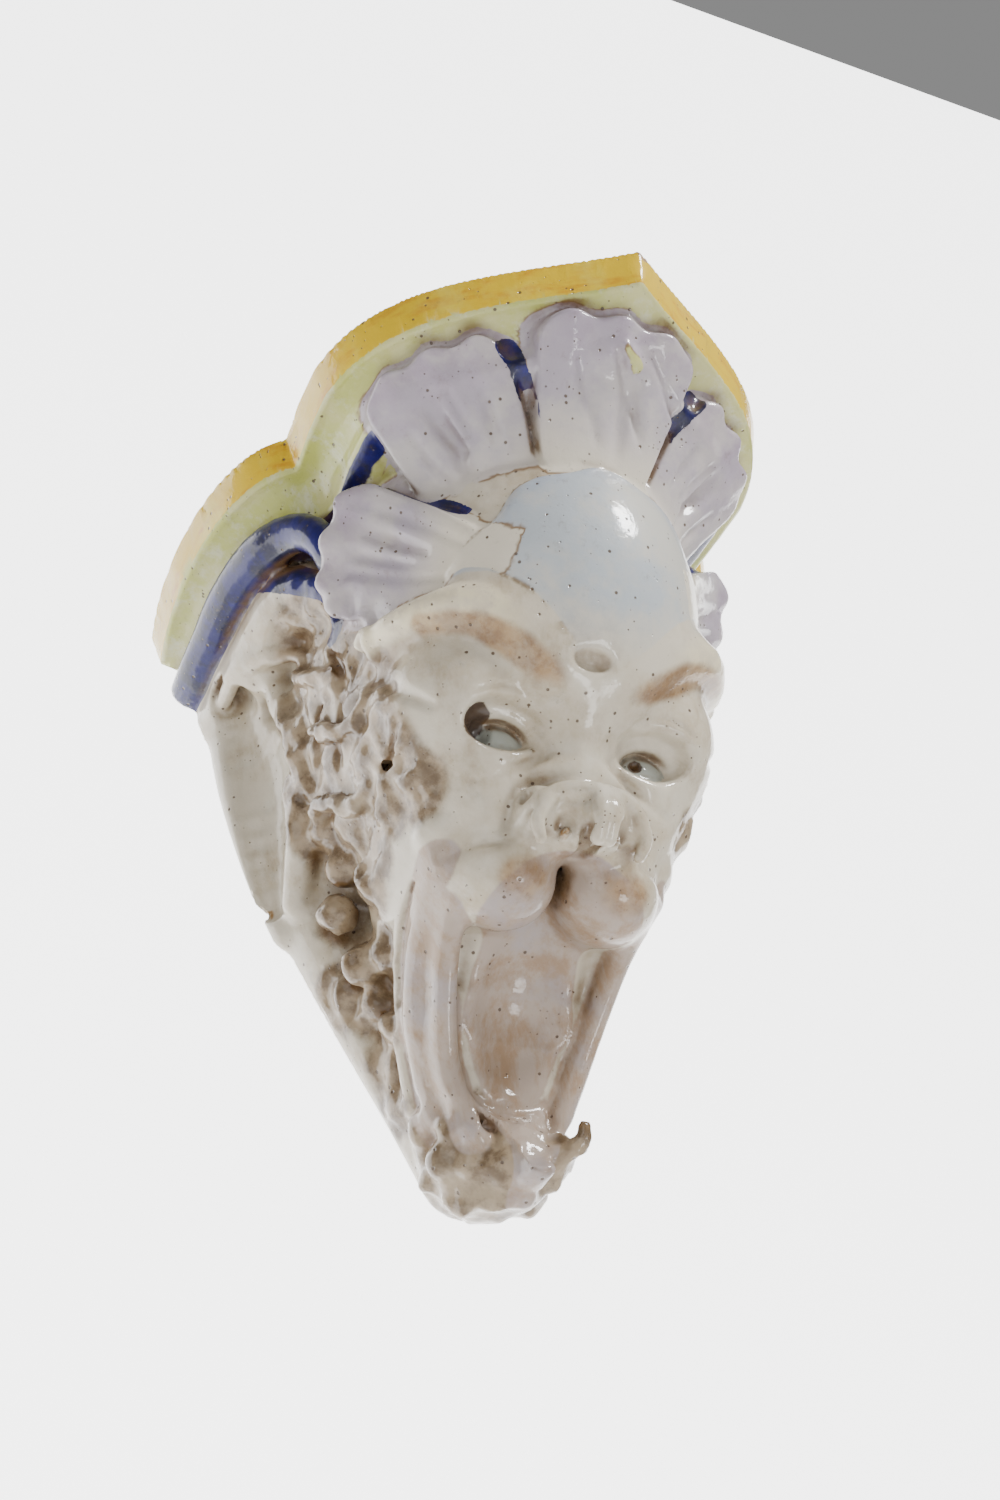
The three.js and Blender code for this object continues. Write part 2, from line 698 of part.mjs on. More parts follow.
function solidOfGeometry(geometry) {
  geometry.deleteAttribute('normal');
  geometry.deleteAttribute('uv');
  const merged = BufferGeometryUtils.mergeVertices(geometry, 1e-3);
  const vertProperties = new Float32Array(merged.attributes.position.array);
  const triVerts = new Uint32Array(merged.index.array);
  return new wasm.Manifold(new wasm.Mesh({ numProp: 3, vertProperties, triVerts }));
}

function maskForm() {
  const half = Math.max(SHELF_WIDTH, MASK_WIDTH) / 2 + 20;
  const low = [-half, -BACK_CUT - 2 * CELL, -MASK_HEIGHT - 20];
  const high = [half, Math.max(SHELF_DEPTH, MASK_DEPTH) + 10, 10];
  const fine = polygonise(form, low, high, CELL);
  return solidOf(turned(new Simplifier(fine).run(FORM_TRIANGLES)));
}

function backHollow() {
  const half = MASK_WIDTH / 2;
  const low = [-half, -BACK_CUT - HOLLOW_CELL, -MASK_HEIGHT];
  const fine = polygonise(hollowBack, low, [half, MASK_DEPTH, 0], HOLLOW_CELL);
  return solidOf(turned(new Simplifier(fine).run(HOLLOW_TRIANGLES)));
}

// Lip of the shelf: its outline, drawn in towards the underside
function shelfLip() {
  const mirrored = outline.slice(1).reverse().map((point) => new THREE.Vector2(-point.x, point.y));
  const plan = new THREE.Shape([...mirrored, ...outline]);
  const slab = new THREE.ExtrudeGeometry(plan, { depth: LIP_HEIGHT, bevelEnabled: false });
  const position = slab.attributes.position;
  for (let i = 0; i < position.count; i += 1) {
    const below = 1 - position.getZ(i) / LIP_HEIGHT;
    const x = position.getX(i) * (1 - (below * LIP_RUN) / (SHELF_WIDTH / 2));
    const d = position.getY(i) * (1 - (below * LIP_RUN) / SHELF_DEPTH);
    position.setXYZ(i, x, d, position.getZ(i));
  }
  slab.scale(1, -1, 1);
  slab.translate(0, 0, MOUNT_DROP - LIP_HEIGHT);
  slab.index = null;
  return slab;
}

function turnOver(geometry) {
  const position = geometry.attributes.position;
  for (let i = 0; i < position.count; i += 3) {
    const b = new THREE.Vector3().fromBufferAttribute(position, i + 1);
    const c = new THREE.Vector3().fromBufferAttribute(position, i + 2);
    position.setXYZ(i + 1, c.x, c.y, c.z);
    position.setXYZ(i + 2, b.x, b.y, b.z);
  }
  return geometry;
}

// Everything behind the wall plane
function behindWall() {
  const size = 4 * BACK_CUT;
  const box = new THREE.BoxGeometry(2 * SHELF_WIDTH, size, 3 * MASK_HEIGHT);
  box.translate(0, size / 2, 0);
  return box;
}

const lip = solidOfGeometry(turnOver(shelfLip()));
const piece = maskForm().add(lip).subtract(solidOfGeometry(behindWall())).subtract(backHollow());
const cutMesh = piece.getMesh();
const geometry = new THREE.BufferGeometry();
geometry.setAttribute('position', new THREE.BufferAttribute(cutMesh.vertProperties, 3));
geometry.setIndex(new THREE.BufferAttribute(cutMesh.triVerts, 1));
geometry.computeVertexNormals();

const glaze = new THREE.MeshStandardMaterial({ color: 0xd8cfc4, roughness: 0.18, metalness: 0 });
const maskShelf = new THREE.Mesh(geometry, glaze);
maskShelf.name = 'mask_shelf';

const group = new THREE.Group();
group.add(maskShelf);

export default group;
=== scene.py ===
"""Glazed earthenware wall shelf carried by a grotesque mask: fine carving, glaze, light and camera."""

import math

import bpy
import numpy as np
from mathutils import Matrix, Vector


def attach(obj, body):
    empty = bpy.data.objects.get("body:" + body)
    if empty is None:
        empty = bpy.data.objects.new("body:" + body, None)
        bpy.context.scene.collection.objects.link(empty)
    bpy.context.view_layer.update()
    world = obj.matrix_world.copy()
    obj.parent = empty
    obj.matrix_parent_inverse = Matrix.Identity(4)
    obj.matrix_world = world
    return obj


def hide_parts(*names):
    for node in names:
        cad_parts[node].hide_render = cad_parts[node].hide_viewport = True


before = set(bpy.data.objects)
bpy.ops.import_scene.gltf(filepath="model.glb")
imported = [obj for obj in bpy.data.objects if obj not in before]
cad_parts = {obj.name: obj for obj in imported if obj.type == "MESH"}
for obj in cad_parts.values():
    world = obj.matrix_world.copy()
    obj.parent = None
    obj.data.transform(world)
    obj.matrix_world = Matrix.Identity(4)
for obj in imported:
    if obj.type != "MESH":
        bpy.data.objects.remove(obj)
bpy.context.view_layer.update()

# Sizes in millimetres: x to the right, d the depth out from the wall, h up from the shelf's top
LIP_HEIGHT = 22.0
LIP_RUN = 5.0
COVE_RADIUS = 17.0
COVE_STEP = 2.0
SHELF_THICKNESS = 46.0
MOUNT_DROP = LIP_HEIGHT / 2
SHELF_DEPTH = 341
WALL_HALF = 150
# Middle and half lengths of the forms that are used more than once
HEAD = ((0, 130, -98), (98, 134, 128))
CHEEK = ((46, 146, -184), (44, 62, 42))
JOWL = ((38, 122, -228), (38, 62, 44))
CROWN = ((0, 132, -62), (100, 128, 58))
EYEBALL = ((40, 167, -216), (20, 20, 16))
PUPIL = ((35, 187, -217), (2.6, 6, 2.6))
LIP_CHIP = (8, 343, -1)
JAW = [(0, 76, -250, 60), (0, 34, -362, 21)]
HEAD_SEAM, CHEEK_SEAM, JOWL_SEAM, JAW_SEAM = 14, 24, 22, 26
CAP_HEIGHT = 165.0
CAP_RADIUS = 74.0
# Steps along a rope between its points, and along each curve of the shelf's outline
ROPE_STEPS = 3
OUTLINE_STEPS = 24
# Gaps that count as out of reach: a plain form, the brow, the big masses, everything
FORM_MARGIN = 12.0
BROW_MARGIN = 18.0
MASS_MARGIN = 28.0
FAR = 1000.0

# The box of points being worked on, as its middle and its half diagonal
reach = {"middle": (0.0, 0.0, 0.0), "radius": 1e9}


def out_of_reach(place, radius, margin):
    a, b, c = reach["middle"]
    gap = math.sqrt((place[0] - a) ** 2 + (place[1] - b) ** 2 + (place[2] - c) ** 2)
    return gap > radius + reach["radius"] + margin


def join(a, b, k):
    """union of two distance fields with a soft seam of width k"""
    near = np.maximum(k - np.abs(a - b), 0.0) / k
    return np.minimum(a, b) - near * near * k * 0.25


def cut(a, b, k):
    """takes the field b out of the field a"""
    return -join(-a, b, k)


def mirror(p):
    return np.abs(p[0]), p[1], p[2]


def near_side(centre):
    """the mirrored copy of a centre that is nearer to the points being worked on"""
    x, d, h = centre[:3]
    return (math.copysign(x, reach["middle"][0]), d, h)


def egg(p, centre, radii, tip=0.0, margin=FORM_MARGIN):
    """ellipsoid, leaned about the x axis by tip, in degrees"""
    if out_of_reach(near_side(centre), max(radii), margin):
        return FAR
    x, d, h = p[0] - centre[0], p[1] - centre[1], p[2] - centre[2]
    if tip:
        c, s = np.cos(np.radians(tip)), np.sin(np.radians(tip))
        d, h = c * d + s * h, c * h - s * d
    a, b, c = radii
    near = np.sqrt((x / a) ** 2 + (d / b) ** 2 + (h / c) ** 2)
    slope = np.sqrt((x / a ** 2) ** 2 + (d / b ** 2) ** 2 + (h / c ** 2) ** 2)
    return near * (near - 1.0) / np.maximum(slope, 1e-6)


def spline(points, steps):
    """points along a smooth curve through the given ones, radius included"""
    given = np.array(points, float)
    padded = np.vstack([2 * given[0] - given[1], given, 2 * given[-1] - given[-2]])
    made = []
    for i in range(1, len(padded) - 2):
        a, b, c, d = padded[i - 1:i + 3]
        for t in np.arange(steps) / steps:
            made.append(0.5 * (2 * b + (c - a) * t + (2 * a - 5 * b + 4 * c - d) * t ** 2
                               + (3 * b - a - 3 * c + d) * t ** 3))
    made.append(given[-1])
    return np.array(made)


def bend(points, margin=FORM_MARGIN):
    """round rope through points (x, d, h, radius)"""
    knots = spline(points, ROPE_STEPS)
    spans = []
    for a, b in zip(knots[:-1], knots[1:]):
        middle = (a[:3] + b[:3]) / 2
        size = np.linalg.norm(b[:3] - a[:3]) / 2 + max(a[3], b[3])
        spans.append((a.tolist(), b.tolist(), middle.tolist(), float(size)))

    def field(p):
        best = FAR
        for a, b, middle, size in spans:
            if out_of_reach(near_side(middle), size, margin):
                continue
            ux, ud, uh = b[0] - a[0], b[1] - a[1], b[2] - a[2]
            vx, vd, vh = p[0] - a[0], p[1] - a[1], p[2] - a[2]
            t = np.clip((ux * vx + ud * vd + uh * vh) / (ux * ux + ud * ud + uh * uh), 0.0, 1.0)
            gap = np.sqrt((vx - t * ux) ** 2 + (vd - t * ud) ** 2 + (vh - t * uh) ** 2)
            best = np.minimum(best, gap - (a[3] + (b[3] - a[3]) * t))
        return best

    return field


def bezier(a, b, c, d):
    t = np.linspace(0, 1, OUTLINE_STEPS + 1)[:, None]
    a, b, c, d = (np.array(v, float) for v in (a, b, c, d))
    return a * (1 - t) ** 3 + 3 * b * t * (1 - t) ** 2 + 3 * c * t * t * (1 - t) + d * t ** 3


def half_outline():
    """the shelf in plan, right half, from the point at the front to the wall"""
    front = bezier((0, SHELF_DEPTH), (58, 304), (124, 284), (132, 214))
    flank = np.array([(131.5, 190)], float)
    side = bezier((129, 166), (158, 150), (168, 70), (WALL_HALF, 0))
    return np.vstack([front, flank, side])


def make_inset():
    """distance inside the shelf's outline, kept on a grid of whole millimetres"""
    half = np.vstack([half_outline(), [(WALL_HALF, -80)]])
    low = -40
    x, d = np.meshgrid(np.arange(low, 191.0), np.arange(low, 381.0), indexing="ij")
    gap = np.full(x.shape, 1e9)
    inside = np.zeros(x.shape, bool)
    for side in (1, -1):
        for (ax, ad), (bx, bd) in zip(half[:-1] * [side, 1], half[1:] * [side, 1]):
            long = (bx - ax) ** 2 + (bd - ad) ** 2
            t = np.clip(((x - ax) * (bx - ax) + (d - ad) * (bd - ad)) / long, 0, 1)
            gap = np.minimum(gap, np.hypot(x - ax - t * (bx - ax), d - ad - t * (bd - ad)))
            if ad != bd:
                inside ^= ((ad > d) != (bd > d)) & (x < ax + (bx - ax) * (d - ad) / (bd - ad))
    grid = np.where(inside, gap, -gap)

    def inset(x, d):
        u = np.clip(np.abs(x) - low, 0, grid.shape[0] - 1.001)
        v = np.clip(d - low, 0, grid.shape[1] - 1.001)
        i, j = u.astype(int), v.astype(int)
        s, t = u - i, v - j
        return ((1 - s) * ((1 - t) * grid[i, j] + t * grid[i, j + 1])
                + s * ((1 - t) * grid[i + 1, j] + t * grid[i + 1, j + 1]))

    return inset


inset = make_inset()


def moulding(p):
    """lip and hollow quarter round of the shelf, down to the ground behind the leaves"""
    x, d, h = p
    s = inset(x, d)
    lip = LIP_RUN * np.clip(-h / LIP_HEIGHT, 0, 1) - s
    inward = np.maximum(s - LIP_RUN - COVE_STEP, 0.0)
    upward = np.maximum(h + LIP_HEIGHT + COVE_RADIUS, 0.0)
    hollow = np.hypot(inward, upward) - COVE_RADIUS
    ground = -SHELF_THICKNESS - h - 0.25 * (s - 26.0)
    f = cut(lip, hollow, 1.6)
    f = -join(-f, -ground, 5.0)
    return -join(-f, -h, 1.2)


side_roll = bend([
    (127, -12, -40, 12), (131, 40, -42, 12), (133, 80, -42, 12),
    (129, 118, -44, 12), (120, 146, -52, 11), (112, 160, -70, 10), (106, 160, -92, 8), (104, 158, -112, 5),
])


def leaf(root, tip, out, half_root, half_tip, sag, spoon_at):
    """fluted leaf from its root to its tip; out is the way that its face looks"""
    start = np.array(root, float)
    along = np.array(tip, float) - start
    length = np.linalg.norm(along)
    along = along / length
    across = np.cross(np.array(out, float), along)
    across = across / np.linalg.norm(across)
    normal = np.cross(along, across)
    middle = (start + along * length / 2).tolist()

    def shares(p):
        x, d, h = p[0] - start[0], p[1] - start[1], p[2] - start[2]
        u = (x * along[0] + d * along[1] + h * along[2]) / length
        v = x * across[0] + d * across[1] + h * across[2]
        w = x * normal[0] + d * normal[1] + h * normal[2]
        share = np.clip(u, 0, 1)
        half = half_root + (half_tip - half_root) * share ** 0.8
        return u, v, w, share, half

    def field(p):
        if out_of_reach(near_side(middle), length * 0.5 + half_tip + 6.0, FORM_MARGIN):
            return FAR
        u, v, w, share, half = shares(p)
        a = v / half
        ribs = np.cos(a * np.pi * 3.4 + 0.6)
        spoon = (np.exp(-((a - spoon_at) / 0.11) ** 2) * np.clip((share - 0.15) * 4, 0, 1)
                 * np.clip((0.84 - share) * 12, 0, 1))
        face = -sag * np.sin(np.pi * share) - 4 * a * a + 1.1 * share ** 2 * ribs - 3.6 * spoon
        end = (u - 1) * length + 8 * a * a - 1.5 * ribs
        edge = -join(-(np.abs(v) - half), -end, 14.0)
        edge = np.maximum(edge, -(u + 0.25) * length)
        body = -join(-(w - face), -edge, 3.0)
        return np.maximum(body, -w - 40.0)

    field.shares = shares
    return field


middle_leaf = leaf((0, 258, -94), (0, 319, -31), (0, 0.75, -0.65), 26, 49, 4.0, 0.22)
front_leaf = leaf((46, 226, -106), (95, 266, -33), (0.6, 0.6, -0.5), 24, 44, 4.0, 0.1)
side_leaf = leaf((66, 220, -140), (121, 174, -90), (0.80, 0.38, -0.46), 23, 39, 4.0, 0.05)
leaf_gaps = [bend([(34, 260, -92, 1), (39, 270, -70, 2.5), (45, 277, -49, 3), (56, 286, -35, 5)]),
             bend([(63, 230, -105, 1), (77, 220, -90, 3), (90, 213, -77, 4), (100, 204, -62, 7)])]

flank_rope = bend([
    (86, 4, -50, 34), (78, 8, -110, 36), (66, 8, -180, 30),
    (48, 10, -240, 26), (28, 12, -310, 18), (8, 16, -362, 19),
], margin=MASS_MARGIN)
jaw_rope = bend(JAW, margin=MASS_MARGIN)


def head(p):
    """plain masses of head, cheeks and jaw"""
    m = mirror(p)
    f = egg(p, *HEAD, margin=MASS_MARGIN)
    f = join(f, egg(m, *CHEEK, margin=MASS_MARGIN), CHEEK_SEAM)
    f = join(f, egg(m, (58, 158, -190), (32, 52, 38), margin=MASS_MARGIN), HEAD_SEAM)
    f = join(f, egg(m, *JOWL, margin=MASS_MARGIN), JOWL_SEAM)
    f = join(f, jaw_rope(p), JAW_SEAM)
    f = join(f, egg(p, *CROWN, margin=MASS_MARGIN), 10)
    f = join(f, egg(m, (54, 84, -130), (44, 90, 84), margin=MASS_MARGIN), 20)
    return join(f, flank_rope(m), 20)


def cap(p):
    """cap with a scalloped rim on the forehead"""
    around = np.arctan2(p[0], p[2] + CAP_HEIGHT)
    rim = np.hypot(p[0], p[2] + CAP_HEIGHT) - CAP_RADIUS - 2.4 * np.cos(around * 11.0)
    dome = cut(egg(p, (0, 132, -112), (97, 138, 118)), -rim, 4.0)
    return np.maximum(dome, 150.0 - p[1])


brow_rope = bend([
    (0, 206, -196, 8), (22, 216, -188, 9), (46, 223, -172, 10),
    (70, 218, -163, 9), (88, 196, -156, 7), (98, 168, -148, 6),
], margin=BROW_MARGIN)
lid_rope = bend([
    (21, 184, -217, 2), (29, 189, -208, 3.5), (42, 191, -204, 4.5), (55, 187, -206, 4.5), (66, 176, -213, 3),
])
low_lid_rope = bend([
    (21, 184, -219, 2), (31, 186, -227, 2.5), (44, 185, -230, 2.5), (56, 180, -227, 2.5), (65, 174, -218, 2),
])


def eyes(f, p):
    m = mirror(p)
    f = join(f, brow_rope(m), 16.0)
    f = join(f, egg(m, (46, 176, -190), (26, 20, 12)), 8.0)
    f = cut(f, egg(p, (-9, 233, -195), (8, 6, 3)), 4.0)
    f = cut(f, egg(m, (42, 198, -217), (22, 19, 12), tip=-12), 4.0)
    f = join(f, egg(m, *EYEBALL), 1.5)
    f = join(f, lid_rope(m), 3.0)
    f = join(f, low_lid_rope(m), 3.0)
    f = cut(f, egg(p, *PUPIL), 1.0)
    return cut(f, egg(p, (-52, 186, -215), (6, 9, 7)), 2.0)


bridge_rope = bend([(0, 196, -196, 13), (0, 178, -236, 15)])


def nose(f, p):
    m = mirror(p)
    f = join(f, bridge_rope(p), 14.0)
    f = join(f, egg(p, (0, 181, -232), (26, 12, 8)), 6.0)
    f = join(f, egg(p, (0, 176, -257), (31, 23, 19)), 5.0)
    f = join(f, egg(p, (3, 193, -267), (13, 15, 12)), 7.0)
    f = join(f, egg(m, (25, 178, -257), (10, 15, 14)), 4.0)
    f = cut(f, egg(m, (15, 198, -271), (7, 17, 6), tip=25), 2.5)
    return cut(f, egg(p, (-33, 184, -252), (4, 4, 4)), 2.0)


mouth_rope = bend([(0, 146, -308, 42), (0, 112, -328, 38), (0, 92, -354, 24)])
lip_edge = bend([
    (49, 132, -280, 6), (46, 110, -294, 6), (42, 92, -311, 6), (36, 74, -332, 6), (28, 66, -354, 6),
    (22, 64, -370, 6),
])
lip_ridge = bend([
    (60, 148, -252, 6), (58, 128, -258, 6), (57, 100, -264, 6), (54, 80, -274, 6), (48, 62, -291, 6),
    (42, 45, -314, 6), (34, 34, -336, 6), (25, 26, -360, 7),
])
lip_flat = bend([
    (54, 138, -262, 12), (50, 112, -272, 12), (47, 90, -285, 12), (42, 70, -305, 12), (35, 57, -327, 11),
    (28, 47, -350, 11),
])

TONGUE_HEIGHTS = (-402, -394, -380, -366, -358, -346, -334, -300, -265, -240)
TONGUE_DEPTHS = (88, 85, 79, 73, 71, 67, 68, 84, 108, 124)
TONGUE_HALVES = (5, 7, 10, 14, 19, 25, 30, 36, 38, 38)
TONGUE_MIDDLES = (3, 3, 4, 3, 0, -5, -7, -2, -1, -1)


def tongue(p):
    x, d, h = p
    depth = np.interp(h, TONGUE_HEIGHTS, TONGUE_DEPTHS)
    half = np.interp(h, TONGUE_HEIGHTS, TONGUE_HALVES)
    off = x - np.interp(h, TONGUE_HEIGHTS, TONGUE_MIDDLES)
    front = (d - depth - 4.0 * (off / half) ** 4 + 3.0) * 0.88
    plate = -join(-front, -(np.abs(off) - half), 6.0)
    plate = -join(-plate, h + 400.0, 6.0)
    return np.maximum(plate, depth - 34.0 - d)


def mouth(f, p):
    m = mirror(p)
    f = cut(f, mouth_rope(p), 6.0)
    f = join(f, egg(m, (29, 144, -272), (27, 27, 24)), 10.0)
    f = join(f, join(join(lip_edge(m), lip_flat(m), 12.0), lip_ridge(m), 5.0), 8.0)
    f = join(f, tongue(p), 3.0)
    return join(f, egg(p, (0, 42, -376), (27, 30, 22)), 10.0)


temple_lock = bend([
    (104, -20, -60, 20), (106, 60, -62, 21), (104, 112, -66, 20), (96, 142, -88, 14),
])
ear_rim = bend([
    (112, 6, -56, 7), (110, 6, -110, 7), (104, 6, -150, 7), (95, 5, -185, 7), (85, 4, -212, 7),
])
ear_edge = bend([
    (106, 46, -54, 8), (103, 60, -70, 8), (100, 64, -100, 8), (97, 73, -128, 9), (95, 70, -148, 9),
    (93, 56, -160, 9), (91, 52, -182, 9), (86, 24, -205, 7),
])
ear_bowl = bend([
    (120, 34, -74, 15), (122, 36, -98, 22), (119, 40, -130, 27), (110, 28, -165, 20), (98, 12, -198, 11),
])


def ears(f, p):
    m = mirror(p)
    f = join(f, temple_lock(m), 8.0)
    f = join(f, join(ear_rim(m), ear_edge(m), 6.0), 8.0)
    return cut(f, ear_bowl(m), 3.0)


# Knots of the mane from the ear down to the chin: x, d, h, radius
KNOTS = [
    (84, 90, -199, 13), (77, 86, -235, 13), (81, 46, -226, 11), (69, 46, -257, 12), (56, 34, -272, 10),
    (52, 42, -294, 9), (45, 28, -306, 8), (40, 22, -326, 8), (90, 66, -184, 12), (77, 153, -226, 12),
    (80, 60, -206, 10), (95, 72, -160, 12), (92, 101, -171, 13), (88, 128, -192, 13), (85, 158, -204, 10),
    (80, 130, -220, 12), (92, 106, -150, 11), (92, 132, -166, 12), (93, 120, -138, 13), (75, 104, -229, 11),
    (64, 20, -260, 10), (60, 62, -262, 9),
]
# Curls of the beard around the chin
BEARD = [
    (-33, 40, -355, 9), (-28, 60, -366, 8), (-12, 60, -358, 8), (-28, 48, -376, 10), (-18, 56, -382, 10),
    (-7, 66, -388, 9), (9, 70, -382, 9), (21, 77, -383, 9), (-18, 42, -391, 10), (-6, 50, -394, 8),
    (8, 54, -394, 8), (18, 66, -388, 9), (-26, 30, -376, 9), (26, 50, -372, 9), (28, 30, -372, 9),
    (16, 40, -388, 10),
]


def mane(f, p):
    m = mirror(p)
    for x, d, h, size in KNOTS:
        f = join(f, egg(m, (x - 0.75 * size, d, h), (size, size, size)), 6.0)
    for x, d, h, size in BEARD:
        f = join(f, egg(p, (x, d - 0.4 * size, h + 0.4 * size), (size, size, size)), 5.0)
    return join(f, beard_tip(p), 3.0)


beard_tip = bend([(12, 66, -384, 9), (20, 76, -384, 7), (25, 86, -381, 4), (26, 91, -375, 2.5)])


def form(p):
    """distance to the whole piece, with its flat back left open"""
    m = mirror(p)
    f = join(head(p), cap(p), 2.0)
    f = eyes(f, p)
    f = nose(f, p)
    f = mouth(f, p)
    f = mane(f, p)
    for plate, q in ((middle_leaf, p), (front_leaf, m), (side_leaf, m)):
        f = join(f, plate(q), 2.0)
    for gap in leaf_gaps:
        f = cut(f, gap(m), 2.0)
    f = ears(f, p)
    f = join(f, side_roll(m), 6.0)
    f = join(f, moulding(p), 4.0)
    return np.maximum(np.maximum(f, p[2]), -p[1])


def set_reach(low, high):
    reach["middle"] = tuple((float(a) + float(b)) / 2 for a, b in zip(low, high))
    reach["radius"] = math.dist(low, high) / 2


# The hollow back: wall, clay under the lip, and the depth from which the wall follows the carving
WALL = 16.0
SHELF_FLOOR = 20.0
WALL_FROM = 55.0
jaw_mass = bend(JAW, margin=FAR)


def head_open_behind(p):
    """the main masses, each kept at its widest from its middle back to the wall"""
    m = mirror(p)

    def kept(q, depth):
        return q[0], np.maximum(q[1], depth), q[2]

    f = egg(kept(p, HEAD[0][1]), *HEAD, margin=FAR)
    f = join(f, egg(kept(m, CHEEK[0][1]), *CHEEK, margin=FAR), CHEEK_SEAM)
    f = join(f, egg(kept(m, JOWL[0][1]), *JOWL, margin=FAR), JOWL_SEAM)
    return join(f, jaw_mass(kept(p, 60)), JAW_SEAM)


def hollow_back(p):
    """hollow behind the mask, a wall's thickness inside all of the carving"""
    inside = head_open_behind(p) + WALL
    if np.min(inside) > 6.0:
        return inside
    moved = (p[0], np.maximum(p[1], WALL_FROM), p[2])
    held = dict(reach)
    set_reach([np.min(v) - WALL for v in moved], [np.max(v) + WALL for v in moved])
    wall = form(moved) + WALL
    reach.update(held)
    return np.maximum(cut(inside, -wall, 12.0), p[2] + LIP_HEIGHT + SHELF_FLOOR)


# Fine lines and folds on both sides: rope, seam width
CREASES = [
    (bend([(20, 189, -227, 0.8), (30, 186, -232, 1.3), (43, 183, -240, 1.3), (55, 177, -241, 0.8)]), 4.0),
    (bend([(26, 204, -207, 0.6), (38, 208, -203, 1), (50, 209, -203, 1), (62, 205, -207, 0.6)]), 1.5),
    (bend([(31, 188, -265, 1), (38, 172, -269, 1.8), (52, 160, -268, 1.8), (63, 147, -267, 1)]), 4.0),
    (bend([(103, 168, -148, 1.5), (94, 158, -158, 2.2), (90, 178, -190, 2), (80, 190, -208, 1.2)]), 5.0),
    (bend([(97, 128, -118, 2), (97, 134, -145, 3), (96, 122, -162, 2.5), (93, 108, -180, 2)]), 4.0),
    (bend([(96, 108, -140, 2), (97, 96, -155, 2.5), (95, 84, -172, 2)]), 4.0),
    (bend([(88, 168, -205, 1), (84, 150, -212, 2), (83, 138, -205, 1.5)]), 4.0),
    (bend([(64, 120, -262, 1), (62, 100, -268, 1.4), (58, 80, -278, 1.4), (52, 62, -294, 1.2)]), 3.0),
    (bend([(13, 207, -277, 2), (4, 190, -274, 3), (0, 170, -272, 3)]), 3.0),
]
RIDGES = [
    (bend([(30, 185, -261, 3), (26, 192, -258, 4), (16, 198, -255, 4.5), (2, 203, -257, 4.5)]), 3.5),
    (bend([(27, 184, -277, 3), (30, 188, -268, 4), (26, 194, -261, 3)]), 4.0),
    (bend([(2, 204, -262, 3), (3, 203, -272, 4), (3, 196, -281, 4)]), 4.0),
    (bend([(46, 150, -238, 4), (58, 150, -246, 5), (66, 142, -250, 4)]), 8.0),
    (bend([(102, 92, -104, 4), (103, 112, -124, 5), (99, 130, -134, 4)]), 5.0),
    (bend([(100, 100, -150, 4), (99, 118, -168, 5), (94, 138, -176, 5), (92, 152, -170, 4)]), 4.0),
    (bend([(92, 74, -184, 4), (93, 90, -190, 5), (86, 106, -206, 5), (84, 124, -208, 4)]), 4.0),
]
# Grooves pressed into the leaves on both sides, then into the middle leaf
GROOVES = [
    [(84, 246, -54, 3), (74, 242, -61, 4.5), (65, 240, -70, 3)],
    [(104, 194, -96, 3), (92, 201, -107, 4.5), (81, 210, -119, 3)],
    [(65, 268, -51, 1.8), (55, 257, -66, 2.4), (48, 249, -93, 1.5)],
    [(90, 232, -59, 1.8), (73, 227, -78, 2.4), (61, 236, -107, 1.5)],
    [(80, 258, -49, 1.8), (64, 249, -68, 2.4), (55, 243, -97, 1.5)],
    [(107, 174, -107, 1.8), (90, 189, -120, 2.4), (73, 211, -137, 1.5)],
    [(112, 199, -81, 1.8), (91, 211, -98, 2.4), (69, 228, -127, 1.5)],
]
MIDDLE_GROOVES = [
    [(-22, 300, -47, 1.8), (-13, 286, -60, 2.4), (-4, 273, -77, 1.5)],
    [(-5, 310, -45, 1.8), (11, 289, -53, 2.4), (22, 274, -73, 1.5)],
    [(19, 308, -40, 1.8), (33, 293, -50, 2.4), (47, 274, -55, 1.5)],
]
GROOVE_SEAM = 3.5
grooves = [bend(path) for path in GROOVES]
middle_grooves = [bend(path) for path in MIDDLE_GROOVES]
ear_fold = bend([(118, 24, -66, 4), (121, 56, -72, 5), (113, 82, -82, 5), (101, 96, -94, 4)])


def relief(f, p):
    """lines and folds too fine for the plain form"""
    m = mirror(p)
    f = join(f, ear_fold(m), 5.0)
    for ridge, k in RIDGES:
        f = join(f, ridge(m), k)
    for crease, k in CREASES:
        f = cut(f, crease(m), k)
    for groove in grooves:
        f = cut(f, groove(m), GROOVE_SEAM)
    for groove in middle_grooves:
        f = cut(f, groove(p), GROOVE_SEAM)
    f = cut(f, egg(p, LIP_CHIP, (9, 5, 6)), 1.0)
    f = cut(f, egg(m, (16, 192, -270), (4.5, 10, 5.5), tip=20), 2.0)
    f = join(f, egg(m, (14, 184, -272), (2, 5, 3)), 1.5)
    f = cut(f, egg(p, (-6, 229, -194), (9, 5, 3), tip=15), 4.0)
    return cut(f, egg(p, (-33, 186, -252), (4, 4, 4)), 2.0)


def solid(p):
    """the outer form and its relief, with its hollow back"""
    return np.maximum(np.maximum(relief(form(p), p), -p[1]), -hollow_back(p))


# The grid: cell size, cells along a block, its low corner and its blocks each way
CELL = 2.0
BLOCK = 8
LOW = np.array([-172.0, -8.0, -412.0])
BLOCKS = np.array([22, 23, 27])
WORK_BLOCK = 30.0
SLOPE_STEP = 0.5
# How far out a recess is looked for, for the shade painted there, and how far in a thin edge
PROBE = 7.0
THIN_PROBE = 4.0
# The mesh: how many triangles are left, and the angle from which an edge is shaded sharp
TRIANGLES = 190000
SHARP_ANGLE = 50


